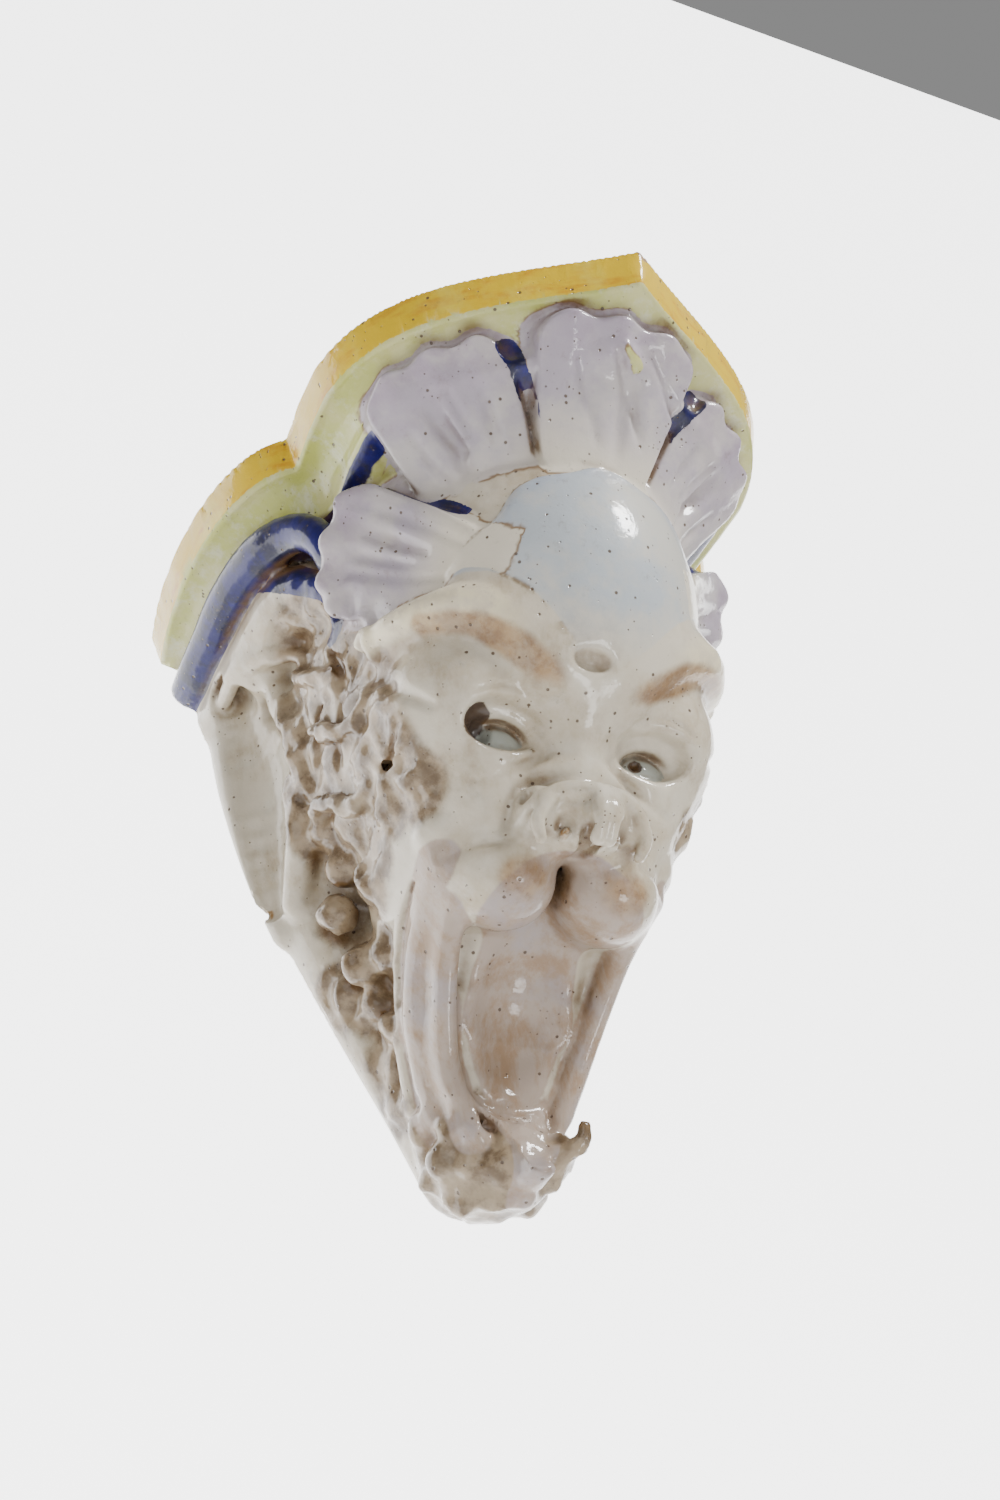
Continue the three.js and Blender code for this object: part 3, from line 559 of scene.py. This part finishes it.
def field_grid():
    """field on a full grid; blocks far from the surface keep one value"""
    size = CELL * BLOCK
    i, j, k = np.meshgrid(*(np.arange(n) for n in BLOCKS), indexing="ij")
    centres = [LOW[a] + (v + 0.5) * size for a, v in enumerate((i, j, k))]
    coarse = solid(tuple(centres))
    grid = np.repeat(np.repeat(np.repeat(coarse, BLOCK, 0), BLOCK, 1), BLOCK, 2).astype(np.float32)
    near = np.argwhere(np.abs(coarse) < size * 1.2)
    steps = np.arange(BLOCK) * CELL
    for block in near:
        low = LOW + block * size
        set_reach(low, low + size)
        p = np.meshgrid(*(low[a] + steps for a in range(3)), indexing="ij")
        a, b, c = block * BLOCK
        grid[a:a + BLOCK, b:b + BLOCK, c:c + BLOCK] = solid(tuple(p))
    return grid


def surface_net(grid):
    """quads through the cells that the surface crosses"""
    inside = grid < 0
    corners = [(a, b, c) for a in (0, 1) for b in (0, 1) for c in (0, 1)]
    n = np.array(grid.shape) - 1

    def corner(array, at):
        return array[at[0]:at[0] + n[0], at[1]:at[1] + n[1], at[2]:at[2] + n[2]]

    count = sum(corner(inside, at).astype(np.int8) for at in corners)
    cells = np.argwhere((count > 0) & (count < 8))
    number = np.full(n, -1, np.int64)
    number[tuple(cells.T)] = np.arange(len(cells))
    total = np.zeros((len(cells), 3))
    crossings = np.zeros(len(cells))
    for at in corners:
        for axis in range(3):
            if at[axis]:
                continue
            to = tuple(v + (1 if a == axis else 0) for a, v in enumerate(at))
            g0 = grid[tuple((cells + at).T)]
            g1 = grid[tuple((cells + to).T)]
            crossed = (g0 < 0) != (g1 < 0)
            t = np.where(crossed, g0 / np.where(crossed, g0 - g1, 1.0), 0.0)
            place = np.repeat(np.array(at, float)[None], len(cells), 0)
            place[:, axis] = t
            total += place * crossed[:, None]
            crossings += crossed
    points = LOW + (cells + total / crossings[:, None]) * CELL
    quads = []
    for axis in range(3):
        b, c = [(1, 2), (2, 0), (0, 1)][axis]
        shift = np.zeros(3, int)
        shift[axis] = 1
        lower = inside[tuple(slice(0, s - d) for s, d in zip(grid.shape, shift))]
        upper = inside[tuple(slice(d, None) for d in shift)]
        edges = np.argwhere(lower != upper)
        keep = (edges[:, b] > 0) & (edges[:, c] > 0) & (edges[:, b] < n[b]) & (edges[:, c] < n[c])
        edges = edges[keep]
        flip = lower[tuple(edges.T)]
        unit_b, unit_c = np.eye(3, dtype=int)[b], np.eye(3, dtype=int)[c]
        around = (unit_b + unit_c, unit_c, 0, unit_b)
        ring = np.stack([number[tuple((edges - o).T)] for o in around], 1)
        ring[flip] = ring[flip][:, ::-1]
        quads.append(ring)
    return points, np.vstack(quads)


def by_block(rows, work, width):
    """runs work on one small block after another; the first three columns are the point"""
    made = np.zeros((len(rows), width))
    key = np.floor((rows[:, :3] - LOW) / WORK_BLOCK).astype(np.int64)
    code = (key[:, 0] * 1000 + key[:, 1]) * 1000 + key[:, 2]
    order = np.argsort(code, kind="stable")
    starts = np.flatnonzero(np.diff(code[order], prepend=-1))
    for a, b in zip(starts, list(starts[1:]) + [len(order)]):
        part = rows[order[a:b]]
        set_reach(part[:, :3].min(0) - PROBE, part[:, :3].max(0) + PROBE)
        made[order[a:b]] = work(part)
    return made


def slope(part):
    """field value and direction at points"""
    value = solid(tuple(part.T))
    out = [value]
    for axis in range(3):
        moved = part.copy()
        moved[:, axis] += SLOPE_STEP
        out.append((solid(tuple(moved.T)) - value) / SLOPE_STEP)
    return np.stack([v + np.zeros(len(part)) for v in out], 1)


def settle(points):
    """moves the points onto the surface"""
    made = by_block(points, slope, 4)
    length = np.maximum(np.linalg.norm(made[:, 1:], axis=1), 0.3)
    way = made[:, 1:] / length[:, None]
    step = np.clip(made[:, 0] / length, -CELL * 0.6, CELL * 0.6)
    points = points - way * step[:, None]
    again = by_block(points, lambda part: solid(tuple(part.T))[:, None], 1)[:, 0]
    return points - way * np.clip(again / length, -0.4, 0.4)[:, None]


def lumps(points, scale, seed):
    """smooth random field between -1 and 1, with lumps of about that size"""
    q = points / scale + 100.0
    low = np.floor(q).astype(np.int64)
    t = q - low
    t = t * t * (3 - 2 * t)
    total = np.zeros(len(points))
    for a in (0, 1):
        for b in (0, 1):
            for c in (0, 1):
                at = low + (a, b, c)
                mixed = at[:, 0] * 73856093 ^ at[:, 1] * 19349663 ^ at[:, 2] * 83492791 ^ seed * 2654435761
                mixed = (mixed ^ (mixed >> 13)) * 1274126177
                chance = ((mixed ^ (mixed >> 16)) & 65535) / 32767.5 - 1.0
                share = np.prod(np.where((a, b, c), t, 1 - t), axis=1)
                total += chance * share
    return total


def weight(gap, soft):
    """1 inside a form and 0 from a gap of soft outwards"""
    return np.clip(1.0 - gap / soft, 0.0, 1.0)


def ramp(v):
    return np.clip(v, 0, 1)


# What is painted but not raised: brown under the brow, on the puffed lips and the chip, cobalt by the leaf
brow_shade = bend([
    (14, 214, -198, 4), (28, 219, -194, 6), (48, 221, -183, 7), (66, 217, -172, 5), (84, 203, -165, 4),
])
LIP_STAIN = ((28, 172, -291), (17, 12, 11))
DARK_EYE = ((-56, 188, -213), (8, 11, 9))
MANE_PATCH = ((103, 118, -165), (27, 52, 80))
BEARD_PATCH = ((0, 56, -396), (58, 50, 34))
cobalt_pool = bend([(125, 110, -52, 7), (117, 136, -76, 8), (110, 150, -98, 7), (101, 134, -112, 5)])


def tints(rows):
    """how much each colour owns every point; the rows hold a point and the way out of the surface"""
    part, way = rows[:, :3], rows[:, 3:]
    p = tuple(part.T)
    m = mirror(p)
    x, d, h = p
    n = len(part)
    s = inset(x, d)
    shelf = weight(np.abs(moulding(p)), 2.0)
    face = np.maximum(s - LIP_RUN * ramp(-h / LIP_HEIGHT), 0)
    lip = shelf * ramp((h + LIP_HEIGHT - 1.0) / 1.5) * ramp(3.5 - face)
    ground = shelf * ramp((-h - 43.0) / 3.0) * ramp((m[0] - 92.0) / 5.0)
    roll = weight(side_roll(m) - 1.0, 2.5)
    slots = np.full(n, FAR)
    for gap in leaf_gaps:
        slots = np.minimum(slots, gap(m))
    slots = weight(slots - 1.0, 1.8)
    leaves = np.full(n, FAR)
    along = np.zeros(n)
    for plate, q in ((middle_leaf, p), (front_leaf, m), (side_leaf, m)):
        gap = plate(q)
        mine = gap < leaves
        leaves = np.where(mine, gap, leaves)
        along = np.where(mine, plate.shares(q)[3], along)
    dome = weight(np.abs(cap(p)), 1.5)
    cap_low = ramp((h + 196.0) / 24.0)
    crown = weight(np.abs(egg(p, *CROWN)), 4.0) * ramp((h + 118.0) / 8.0)
    leaves = np.maximum(weight(leaves - 3.6, 1.5), crown * (1.0 - dome) * (1.0 - shelf))
    rim = ramp(1.0 - (CAP_RADIUS - np.hypot(x, h + CAP_HEIGHT)) / 16.0) * dome * cap_low
    hair = np.full(n, FAR)
    for kx, kd, kh, size in KNOTS:
        hair = np.minimum(hair, egg(m, (kx - 4, kd, kh), (size, size, size)))
    for kx, kd, kh, size in BEARD:
        hair = np.minimum(hair, egg(p, (kx, kd, kh), (size, size, size)))
    hair = np.minimum(hair, egg(m, *MANE_PATCH) - 2.0)
    hair = np.minimum(hair, egg(p, *BEARD_PATCH) - 2.0)
    inner = np.minimum(mouth_rope(p), np.minimum(lip_edge(m), lip_flat(m)))
    stain_and_shade = np.maximum(weight(brow_shade(m), 6.0), 0.8 * weight(egg(m, *LIP_STAIN), 9.0))
    pool = weight(cobalt_pool(m), 3.0)
    owned = {
        "lip": lip,
        "shelf": shelf,
        "blue": np.maximum(np.maximum(roll * (1.0 - leaves), pool), np.maximum(ground, slots)),
        "leaf": leaves,
        "leaf_along": along,
        "cap": dome,
        "cap_low": cap_low,
        "cap_rim": rim,
        "brow": weight(brow_rope(m), 7.0),
        "brow_shade": np.maximum(stain_and_shade, weight(egg(p, LIP_CHIP, (10, 6, 7)), 1.5)),
        "hair": weight(hair - 3.0, 12.0),
        "gape": np.maximum(weight(inner - 2.0, 4.0), weight(tongue(p) - 1.0, 2.0)),
        "eyeball": weight(egg(m, *EYEBALL) - 0.3, 1.2),
        "pupil": weight(np.minimum(egg(p, *PUPIL), egg(p, *DARK_EYE)) - 0.6, 1.5),
        # painted shade: how enclosed each point is, used to darken recesses as shade would, partly also for
        # glaze pooled there
        "recess": 1.0 - ramp(solid(tuple((part + way * PROBE).T)) / PROBE),
        "edge": 1.0 - ramp(-solid(tuple((part - way * THIN_PROBE).T)) / THIN_PROBE),
    }
    return np.stack([owned[name] + np.zeros(n) for name in TINTS], 1)


TINTS = ["lip", "shelf", "blue", "leaf", "leaf_along", "cap", "cap_low", "cap_rim",
         "brow", "brow_shade", "hair", "gape", "eyeball", "pupil", "recess", "edge"]


def placed(points):
    """design millimetres to row metres"""
    return np.stack([points[:, 0], -points[:, 1], points[:, 2] + MOUNT_DROP], 1) / 1000


def build_mask():
    """the carved piece, with its colours kept at its points"""
    points, quads = surface_net(field_grid())
    points = settle(points)
    mesh = bpy.data.meshes.new("glazed_mask")
    mesh.from_pydata(placed(points).tolist(), [], quads.tolist())
    piece = bpy.data.objects.new("glazed_mask", mesh)
    bpy.context.collection.objects.link(piece)
    thin = piece.modifiers.new("thin", "DECIMATE")
    thin.ratio = TRIANGLES / (2 * len(quads))
    seen = piece.evaluated_get(bpy.context.evaluated_depsgraph_get())
    mesh = bpy.data.meshes.new_from_object(seen)
    piece.modifiers.clear()
    piece.data = mesh
    count = len(mesh.vertices)
    place = np.zeros(count * 3)
    mesh.vertices.foreach_get("co", place)
    place = place.reshape(count, 3) * 1000
    points = np.stack([place[:, 0], -place[:, 1], place[:, 2] - MOUNT_DROP], 1)
    way = np.zeros(count * 3)
    mesh.vertices.foreach_get("normal", way)
    way = way.reshape(count, 3) * (1, -1, 1)
    shades = by_block(np.hstack([points, way]), tints, len(TINTS))
    hair = shades[:, TINTS.index("hair")]
    free = ramp(points[:, 1] / 8.0) * ramp(-points[:, 2] / 6.0)
    curls = 0.5 - np.abs(lumps(points, 13.0, 11)) * 2.2
    rise = lumps(points, 24.0, 3) * 0.5 + lumps(points, 9.0, 5) * (0.12 + 1.2 * hair)
    rise += (curls * 1.8 + lumps(points, 5.0, 7) * 0.8) * hair
    points = points + way * (rise * free)[:, None]
    mesh.vertices.foreach_set("co", placed(points).ravel())
    for name, column in zip(TINTS, shades.T):
        layer = mesh.attributes.new(name, "FLOAT", "POINT")
        layer.data.foreach_set("value", column.astype(np.float32))
    mesh.polygons.foreach_set("use_smooth", np.ones(len(mesh.polygons), bool))
    mesh.update()
    mesh.set_sharp_from_angle(angle=math.radians(SHARP_ANGLE))
    return piece


def node(tree, kind, **settings):
    made = tree.nodes.new(kind)
    for name, value in settings.items():
        setattr(made, name, value)
    return made


# How much fuller and darker the glaze's colours are than they look in the light
FULLNESS = 1.7
DEPTH = 0.72


def colour(red, green, blue):
    """linear colour from one as it is seen, 0 to 255, made fuller for the soft studio light"""
    linear = [((v / 255 + 0.055) / 1.055) ** 2.4 for v in (red, green, blue)]
    grey = sum(linear) / 3
    return [max(grey + (v - grey) * FULLNESS, 0.002) * DEPTH for v in linear] + [1.0]


class Glaze:
    """builds up one glaze, colour over colour"""

    def __init__(self, name):
        self.material = bpy.data.materials.new(name)
        self.material.use_nodes = True
        self.tree = self.material.node_tree
        self.tree.nodes.clear()
        self.place = node(self.tree, "ShaderNodeTexCoord").outputs["Object"]
        self.now = None

    def link(self, a, b):
        self.tree.links.new(a, b)

    def value(self, name):
        return node(self.tree, "ShaderNodeAttribute", attribute_name=name).outputs["Fac"]

    def noise(self, scale, detail, rough=0.6, stretch=None):
        made = node(self.tree, "ShaderNodeTexNoise")
        made.inputs["Scale"].default_value = scale
        made.inputs["Detail"].default_value = detail
        made.inputs["Roughness"].default_value = rough
        place = self.place
        if stretch:
            move = node(self.tree, "ShaderNodeMapping")
            move.inputs["Scale"].default_value = stretch
            self.link(self.place, move.inputs["Vector"])
            place = move.outputs["Vector"]
        self.link(place, made.inputs["Vector"])
        return made.outputs["Fac"]

    def dots(self, scale):
        """scattered points: the gap to the nearest one, and a chance of its own"""
        made = node(self.tree, "ShaderNodeTexVoronoi")
        made.inputs["Scale"].default_value = scale
        self.link(self.place, made.inputs["Vector"])
        split = node(self.tree, "ShaderNodeSeparateColor")
        self.link(made.outputs["Color"], split.inputs["Color"])
        return made.outputs["Distance"], split.outputs[0]

    def math(self, kind, a, b):
        made = node(self.tree, "ShaderNodeMath", operation=kind)
        for socket, v in zip(made.inputs, (a, b)):
            if isinstance(v, (int, float)):
                socket.default_value = v
            else:
                self.link(v, socket)
        return made.outputs[0]

    def span(self, v, low, high, to_low=0.0, to_high=1.0):
        made = node(self.tree, "ShaderNodeMapRange", interpolation_type="SMOOTHSTEP")
        made.inputs["From Min"].default_value = low
        made.inputs["From Max"].default_value = high
        made.inputs["To Min"].default_value = to_low
        made.inputs["To Max"].default_value = to_high
        self.link(v, made.inputs["Value"])
        return made.outputs["Result"]

    def mix(self, a, b, share):
        made = node(self.tree, "ShaderNodeMix", data_type="RGBA")
        for socket, v in ((made.inputs[6], a), (made.inputs[7], b)):
            if isinstance(v, list):
                socket.default_value = v
            else:
                self.link(v, socket)
        self.link(share, made.inputs[0])
        return made.outputs[2]

    def over(self, tone, share):
        """lays a colour over what is there"""
        self.now = tone if self.now is None else self.mix(self.now, tone, share)

    def edged(self, name, wander, low, high, amount):
        """share of a region with a hand-brushed edge"""
        shift = self.times(self.math("SUBTRACT", wander, 0.5), amount)
        return self.span(self.math("ADD", self.value(name), shift), low, high)

    def times(self, a, b):
        return self.math("MULTIPLY", a, b)


def mask_glaze():
    """every colour of the glaze and the shade painted into its recesses, each laid over the ones before it"""
    g = Glaze("glaze")
    fine = g.noise(260.0, 3.0)
    mid = g.noise(70.0, 5.0)
    broad = g.noise(22.0, 5.0, 0.65)
    streak = g.noise(60.0, 5.0, 0.7, (1.0, 1.0, 0.22))
    brushed = g.noise(90.0, 4.0, 0.7, (0.25, 0.25, 1.0))

    clay = g.mix(colour(220, 214, 202), colour(194, 184, 168), g.span(broad, 0.40, 0.70))
    clay = g.mix(clay, colour(226, 223, 214), g.span(mid, 0.52, 0.75, 0.0, 0.5))
    wash = g.times(g.span(streak, 0.46, 0.74, 0.0, 0.55), g.span(broad, 0.4, 0.6, 0.35, 1.0))
    clay = g.mix(clay, colour(150, 136, 120), wash)
    g.over(clay, 1.0)
    hair = g.mix(colour(160, 147, 131), colour(106, 93, 79), g.span(mid, 0.4, 0.62))
    hair = g.mix(hair, colour(184, 173, 157), g.span(broad, 0.5, 0.7, 0.0, 0.6))
    g.over(hair, g.edged("hair", mid, 0.1, 0.75, 0.7))
    flesh = g.mix(colour(180, 169, 160), colour(158, 140, 124), g.span(streak, 0.42, 0.66))
    flesh = g.mix(flesh, colour(176, 170, 170), g.span(broad, 0.48, 0.66, 0.0, 0.7))
    g.over(flesh, g.edged("gape", mid, 0.3, 0.7, 0.4))
    cream = g.mix(colour(236, 228, 208), colour(222, 214, 198), g.span(mid, 0.4, 0.6))
    g.over(cream, g.edged("brow", mid, 0.3, 0.9, 0.5))
    tan = g.mix(colour(170, 148, 124), colour(134, 112, 92), g.span(mid, 0.4, 0.6))
    shaded = g.edged("brow_shade", mid, 0.2, 1.0, 0.6)
    g.over(tan, g.times(shaded, g.span(streak, 0.3, 0.6, 0.6, 0.95)))

    dome = g.mix(colour(212, 210, 204), colour(196, 200, 203), g.span(broad, 0.42, 0.62))
    g.over(dome, g.times(g.edged("cap", fine, 0.4, 0.6, 0.3), g.value("cap_low")))
    rim = g.span(g.value("cap_rim"), 0.1, 1.0, 0.0, 0.75)
    g.over(colour(176, 182, 192), g.times(rim, g.span(mid, 0.35, 0.6, 0.35, 1.0)))

    cove = g.mix(colour(206, 204, 166), colour(190, 192, 140), g.span(broad, 0.42, 0.6))
    cove = g.mix(cove, colour(222, 222, 202), g.span(streak, 0.5, 0.7, 0.0, 0.7))
    g.over(cove, g.edged("shelf", fine, 0.4, 0.6, 0.2))
    lip = g.mix(colour(214, 188, 88), colour(190, 146, 66), g.span(brushed, 0.48, 0.72))
    lip = g.mix(lip, colour(226, 212, 146), g.span(broad, 0.5, 0.66, 0.0, 0.6))
    g.over(lip, g.edged("lip", mid, 0.35, 0.65, 0.35))

    petal = g.mix(colour(206, 201, 199), colour(186, 180, 186), g.span(broad, 0.4, 0.62))
    petal = g.mix(colour(232, 226, 214), petal, g.span(g.value("leaf_along"), 0.05, 0.5))
    outer = g.span(g.value("leaf_along"), 0.5, 1.0, 0.0, 0.8)
    petal = g.mix(petal, colour(168, 158, 168), g.times(outer, g.span(mid, 0.35, 0.65, 0.3, 1.0)))
    g.over(petal, g.edged("leaf", fine, 0.4, 0.6, 0.3))
    g.over(tan, g.times(g.value("lip"), g.span(g.value("brow_shade"), 0.4, 0.7)))
    crack = g.times(g.span(g.value("cap"), 0.05, 0.35), g.span(g.value("cap"), 0.45, 0.8, 1.0, 0.0))
    crack = g.times(crack, g.value("cap_low"))
    g.over(colour(122, 108, 92), g.times(crack, g.span(broad, 0.5, 0.56, 0.0, 0.8)))
    crack = g.times(g.span(g.value("leaf"), 0.05, 0.4), g.span(g.value("leaf"), 0.5, 0.85, 1.0, 0.0))
    g.over(colour(132, 114, 96), g.times(crack, g.span(broad, 0.46, 0.54, 0.0, 0.9)))
    blue = g.mix(colour(20, 24, 84), colour(10, 12, 46), g.span(mid, 0.4, 0.62))
    blue = g.mix(blue, colour(44, 52, 120), g.span(streak, 0.6, 0.76, 0.0, 0.5))
    g.over(blue, g.edged("blue", mid, 0.4, 0.6, 0.45))

    g.over(colour(176, 178, 172), g.edged("eyeball", mid, 0.4, 0.8, 0.4))
    g.over(colour(62, 48, 40), g.span(g.value("pupil"), 0.2, 0.7, 0.0, 0.95))

    # painted shade: brown laid into recesses in place of the shade that falls there, partly also glaze pooled
    # in the hollows
    stain_and_shade = g.mix(colour(120, 100, 80), colour(92, 74, 58), fine)
    recess_shade = g.span(g.value("recess"), 0.2, 0.9, 0.0, 0.85)
    g.over(stain_and_shade, g.times(recess_shade, g.span(mid, 0.3, 0.6, 0.45, 1.0)))
    chip = g.times(g.span(g.value("edge"), 0.55, 0.95), g.span(g.noise(34.0, 4.0), 0.56, 0.62))
    g.over(colour(150, 124, 96), chip)

    height = node(g.tree, "ShaderNodeSeparateXYZ")
    g.link(g.place, height.inputs["Vector"])
    top = g.math("GREATER_THAN", height.outputs["Z"], (MOUNT_DROP - 0.3) / 1000)
    g.over(g.mix(colour(222, 214, 192), colour(206, 200, 178), g.span(broad, 0.4, 0.65)), top)
    grime = g.times(g.span(g.noise(140.0, 5.0, 0.75), 0.55, 0.72, 0.0, 0.3), g.span(broad, 0.45, 0.62))
    g.over(colour(112, 98, 84), grime)
    few = g.math("GREATER_THAN", g.noise(24.0, 2.0), 0.44)
    gap, chance = g.dots(170.0)
    chosen = g.times(g.math("GREATER_THAN", chance, 0.62), few)
    pin = g.times(g.span(gap, 0.11, 0.19, 1.0, 0.0), chosen)
    gap, chance = g.dots(330.0)
    tiny = g.times(g.span(gap, 0.12, 0.2, 1.0, 0.0), g.math("GREATER_THAN", chance, 0.7))
    pin = g.math("MAXIMUM", pin, g.times(tiny, g.span(mid, 0.45, 0.6)))
    g.over(colour(84, 72, 62), g.times(pin, 0.9))

    shader = node(g.tree, "ShaderNodeBsdfPrincipled")
    shader.inputs["Roughness"].default_value = 0.5
    shader.inputs["IOR"].default_value = 1.5
    shader.inputs["Specular IOR Level"].default_value = 0.2
    shader.inputs["Coat Weight"].default_value = 0.75
    shader.inputs["Coat Roughness"].default_value = 0.045
    g.link(g.now, shader.inputs["Base Color"])
    rise = g.math("ADD", g.times(mid, 0.5), g.times(fine, 0.18))
    rise = g.math("SUBTRACT", rise, g.times(pin, 0.8))
    rise = g.math("ADD", rise, g.times(broad, 0.8))
    bump = node(g.tree, "ShaderNodeBump")
    bump.inputs["Strength"].default_value = 0.55
    bump.inputs["Distance"].default_value = 0.0012
    g.link(rise, bump.inputs["Height"])
    g.link(bump.outputs["Normal"], shader.inputs["Normal"])
    g.link(bump.outputs["Normal"], shader.inputs["Coat Normal"])
    out = node(g.tree, "ShaderNodeOutputMaterial")
    g.link(shader.outputs[0], out.inputs[0])
    return g.material


def plain(name, tone, roughness, glow):
    """one plain grey"""
    made = bpy.data.materials.new(name)
    made.use_nodes = True
    shader = made.node_tree.nodes["Principled BSDF"]
    shader.inputs["Base Color"].default_value = (tone, tone, tone, 1.0)
    shader.inputs["Roughness"].default_value = roughness
    shader.inputs["Emission Color"].default_value = (1.0, 1.0, 1.0, 1.0)
    shader.inputs["Emission Strength"].default_value = glow
    return made


def sheet(name, corners, material):
    """flat sheet that isn't part of the object"""
    mesh = bpy.data.meshes.new(name)
    mesh.from_pydata(corners, [], [(0, 1, 2, 3)])
    made = bpy.data.objects.new(name, mesh)
    made.data.materials.append(material)
    bpy.context.collection.objects.link(made)


def area_light(name, place, aim, size, power):
    data = bpy.data.lights.new(name, "AREA")
    data.shape = "DISK"
    data.size = size
    data.energy = power
    made = bpy.data.objects.new(name, data)
    made.location = place
    made.rotation_euler = (Vector(aim) - Vector(place)).to_track_quat("-Z", "Y").to_euler()
    bpy.context.collection.objects.link(made)


# The camera looks up at the mask from the left and below, as the photograph does
TURN = 31.293
CLIMB = 39.481
ROLL = -10.030
DISTANCE = 1.252298
AIM = Vector((0.0, -0.100, -0.189))
FOCAL_PIXELS = 2359.85
SHIFT_PIXELS = (-2.344, 85.390)
PICTURE_HEIGHT = 1500
SENSOR = 36.0


def make_camera():
    turn, climb, roll = (math.radians(v) for v in (-TURN, -CLIMB, ROLL))
    back = Vector((math.sin(turn) * math.cos(climb), -math.cos(turn) * math.cos(climb), math.sin(climb)))
    level = Vector((math.cos(turn), math.sin(turn), 0.0))
    upward = back.cross(level)
    right = level * math.cos(roll) + upward * math.sin(roll)
    up = upward * math.cos(roll) - level * math.sin(roll)
    data = bpy.data.cameras.new("camera")
    data.sensor_fit = "VERTICAL"
    data.sensor_height = SENSOR
    data.lens = FOCAL_PIXELS / PICTURE_HEIGHT * SENSOR
    data.shift_x = -SHIFT_PIXELS[0] / PICTURE_HEIGHT
    data.shift_y = SHIFT_PIXELS[1] / PICTURE_HEIGHT
    made = bpy.data.objects.new("camera", data)
    turned = Matrix((right, up, back)).transposed().to_4x4()
    made.matrix_world = Matrix.Translation(AIM + back * DISTANCE) @ turned
    bpy.context.collection.objects.link(made)
    bpy.context.scene.camera = made


mask = build_mask()
mask.data.materials.append(mask_glaze())
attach(mask, "root")
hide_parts("mask_shelf")

# The sheets of the stage, in metres: half their width, the wall's distance and the floor's height
HALF = 6
BACK = 1.8
FLOOR = -1.5
pale = plain("pale", 0.9, 0.85, 4.0)
sheet("backdrop", [(-HALF, BACK, -3), (HALF, BACK, -3), (HALF, BACK, 5), (-HALF, BACK, 5)], pale)
ground = plain("pale floor", 0.8, 0.9, 0.0)
sheet("floor", [(-HALF, -HALF, FLOOR), (HALF, -HALF, FLOOR), (HALF, HALF, FLOOR), (-HALF, HALF, FLOOR)], ground)
area_light("key", (0.8, -1.4, 0.75), (0, -0.15, -0.2), 0.5, 46.0)
area_light("fill", (-1.3, -1.5, -0.3), (0, -0.1, -0.2), 1.4, 8.0)
area_light("under", (0.5, -1.2, -1.4), (0, -0.15, -0.2), 0.45, 6.0)
world = bpy.data.worlds.new("studio")
world.use_nodes = True
world.node_tree.nodes["Background"].inputs["Color"].default_value = (1.0, 1.0, 1.0, 1.0)
world.node_tree.nodes["Background"].inputs["Strength"].default_value = 0.26
bpy.context.scene.world = world
make_camera()
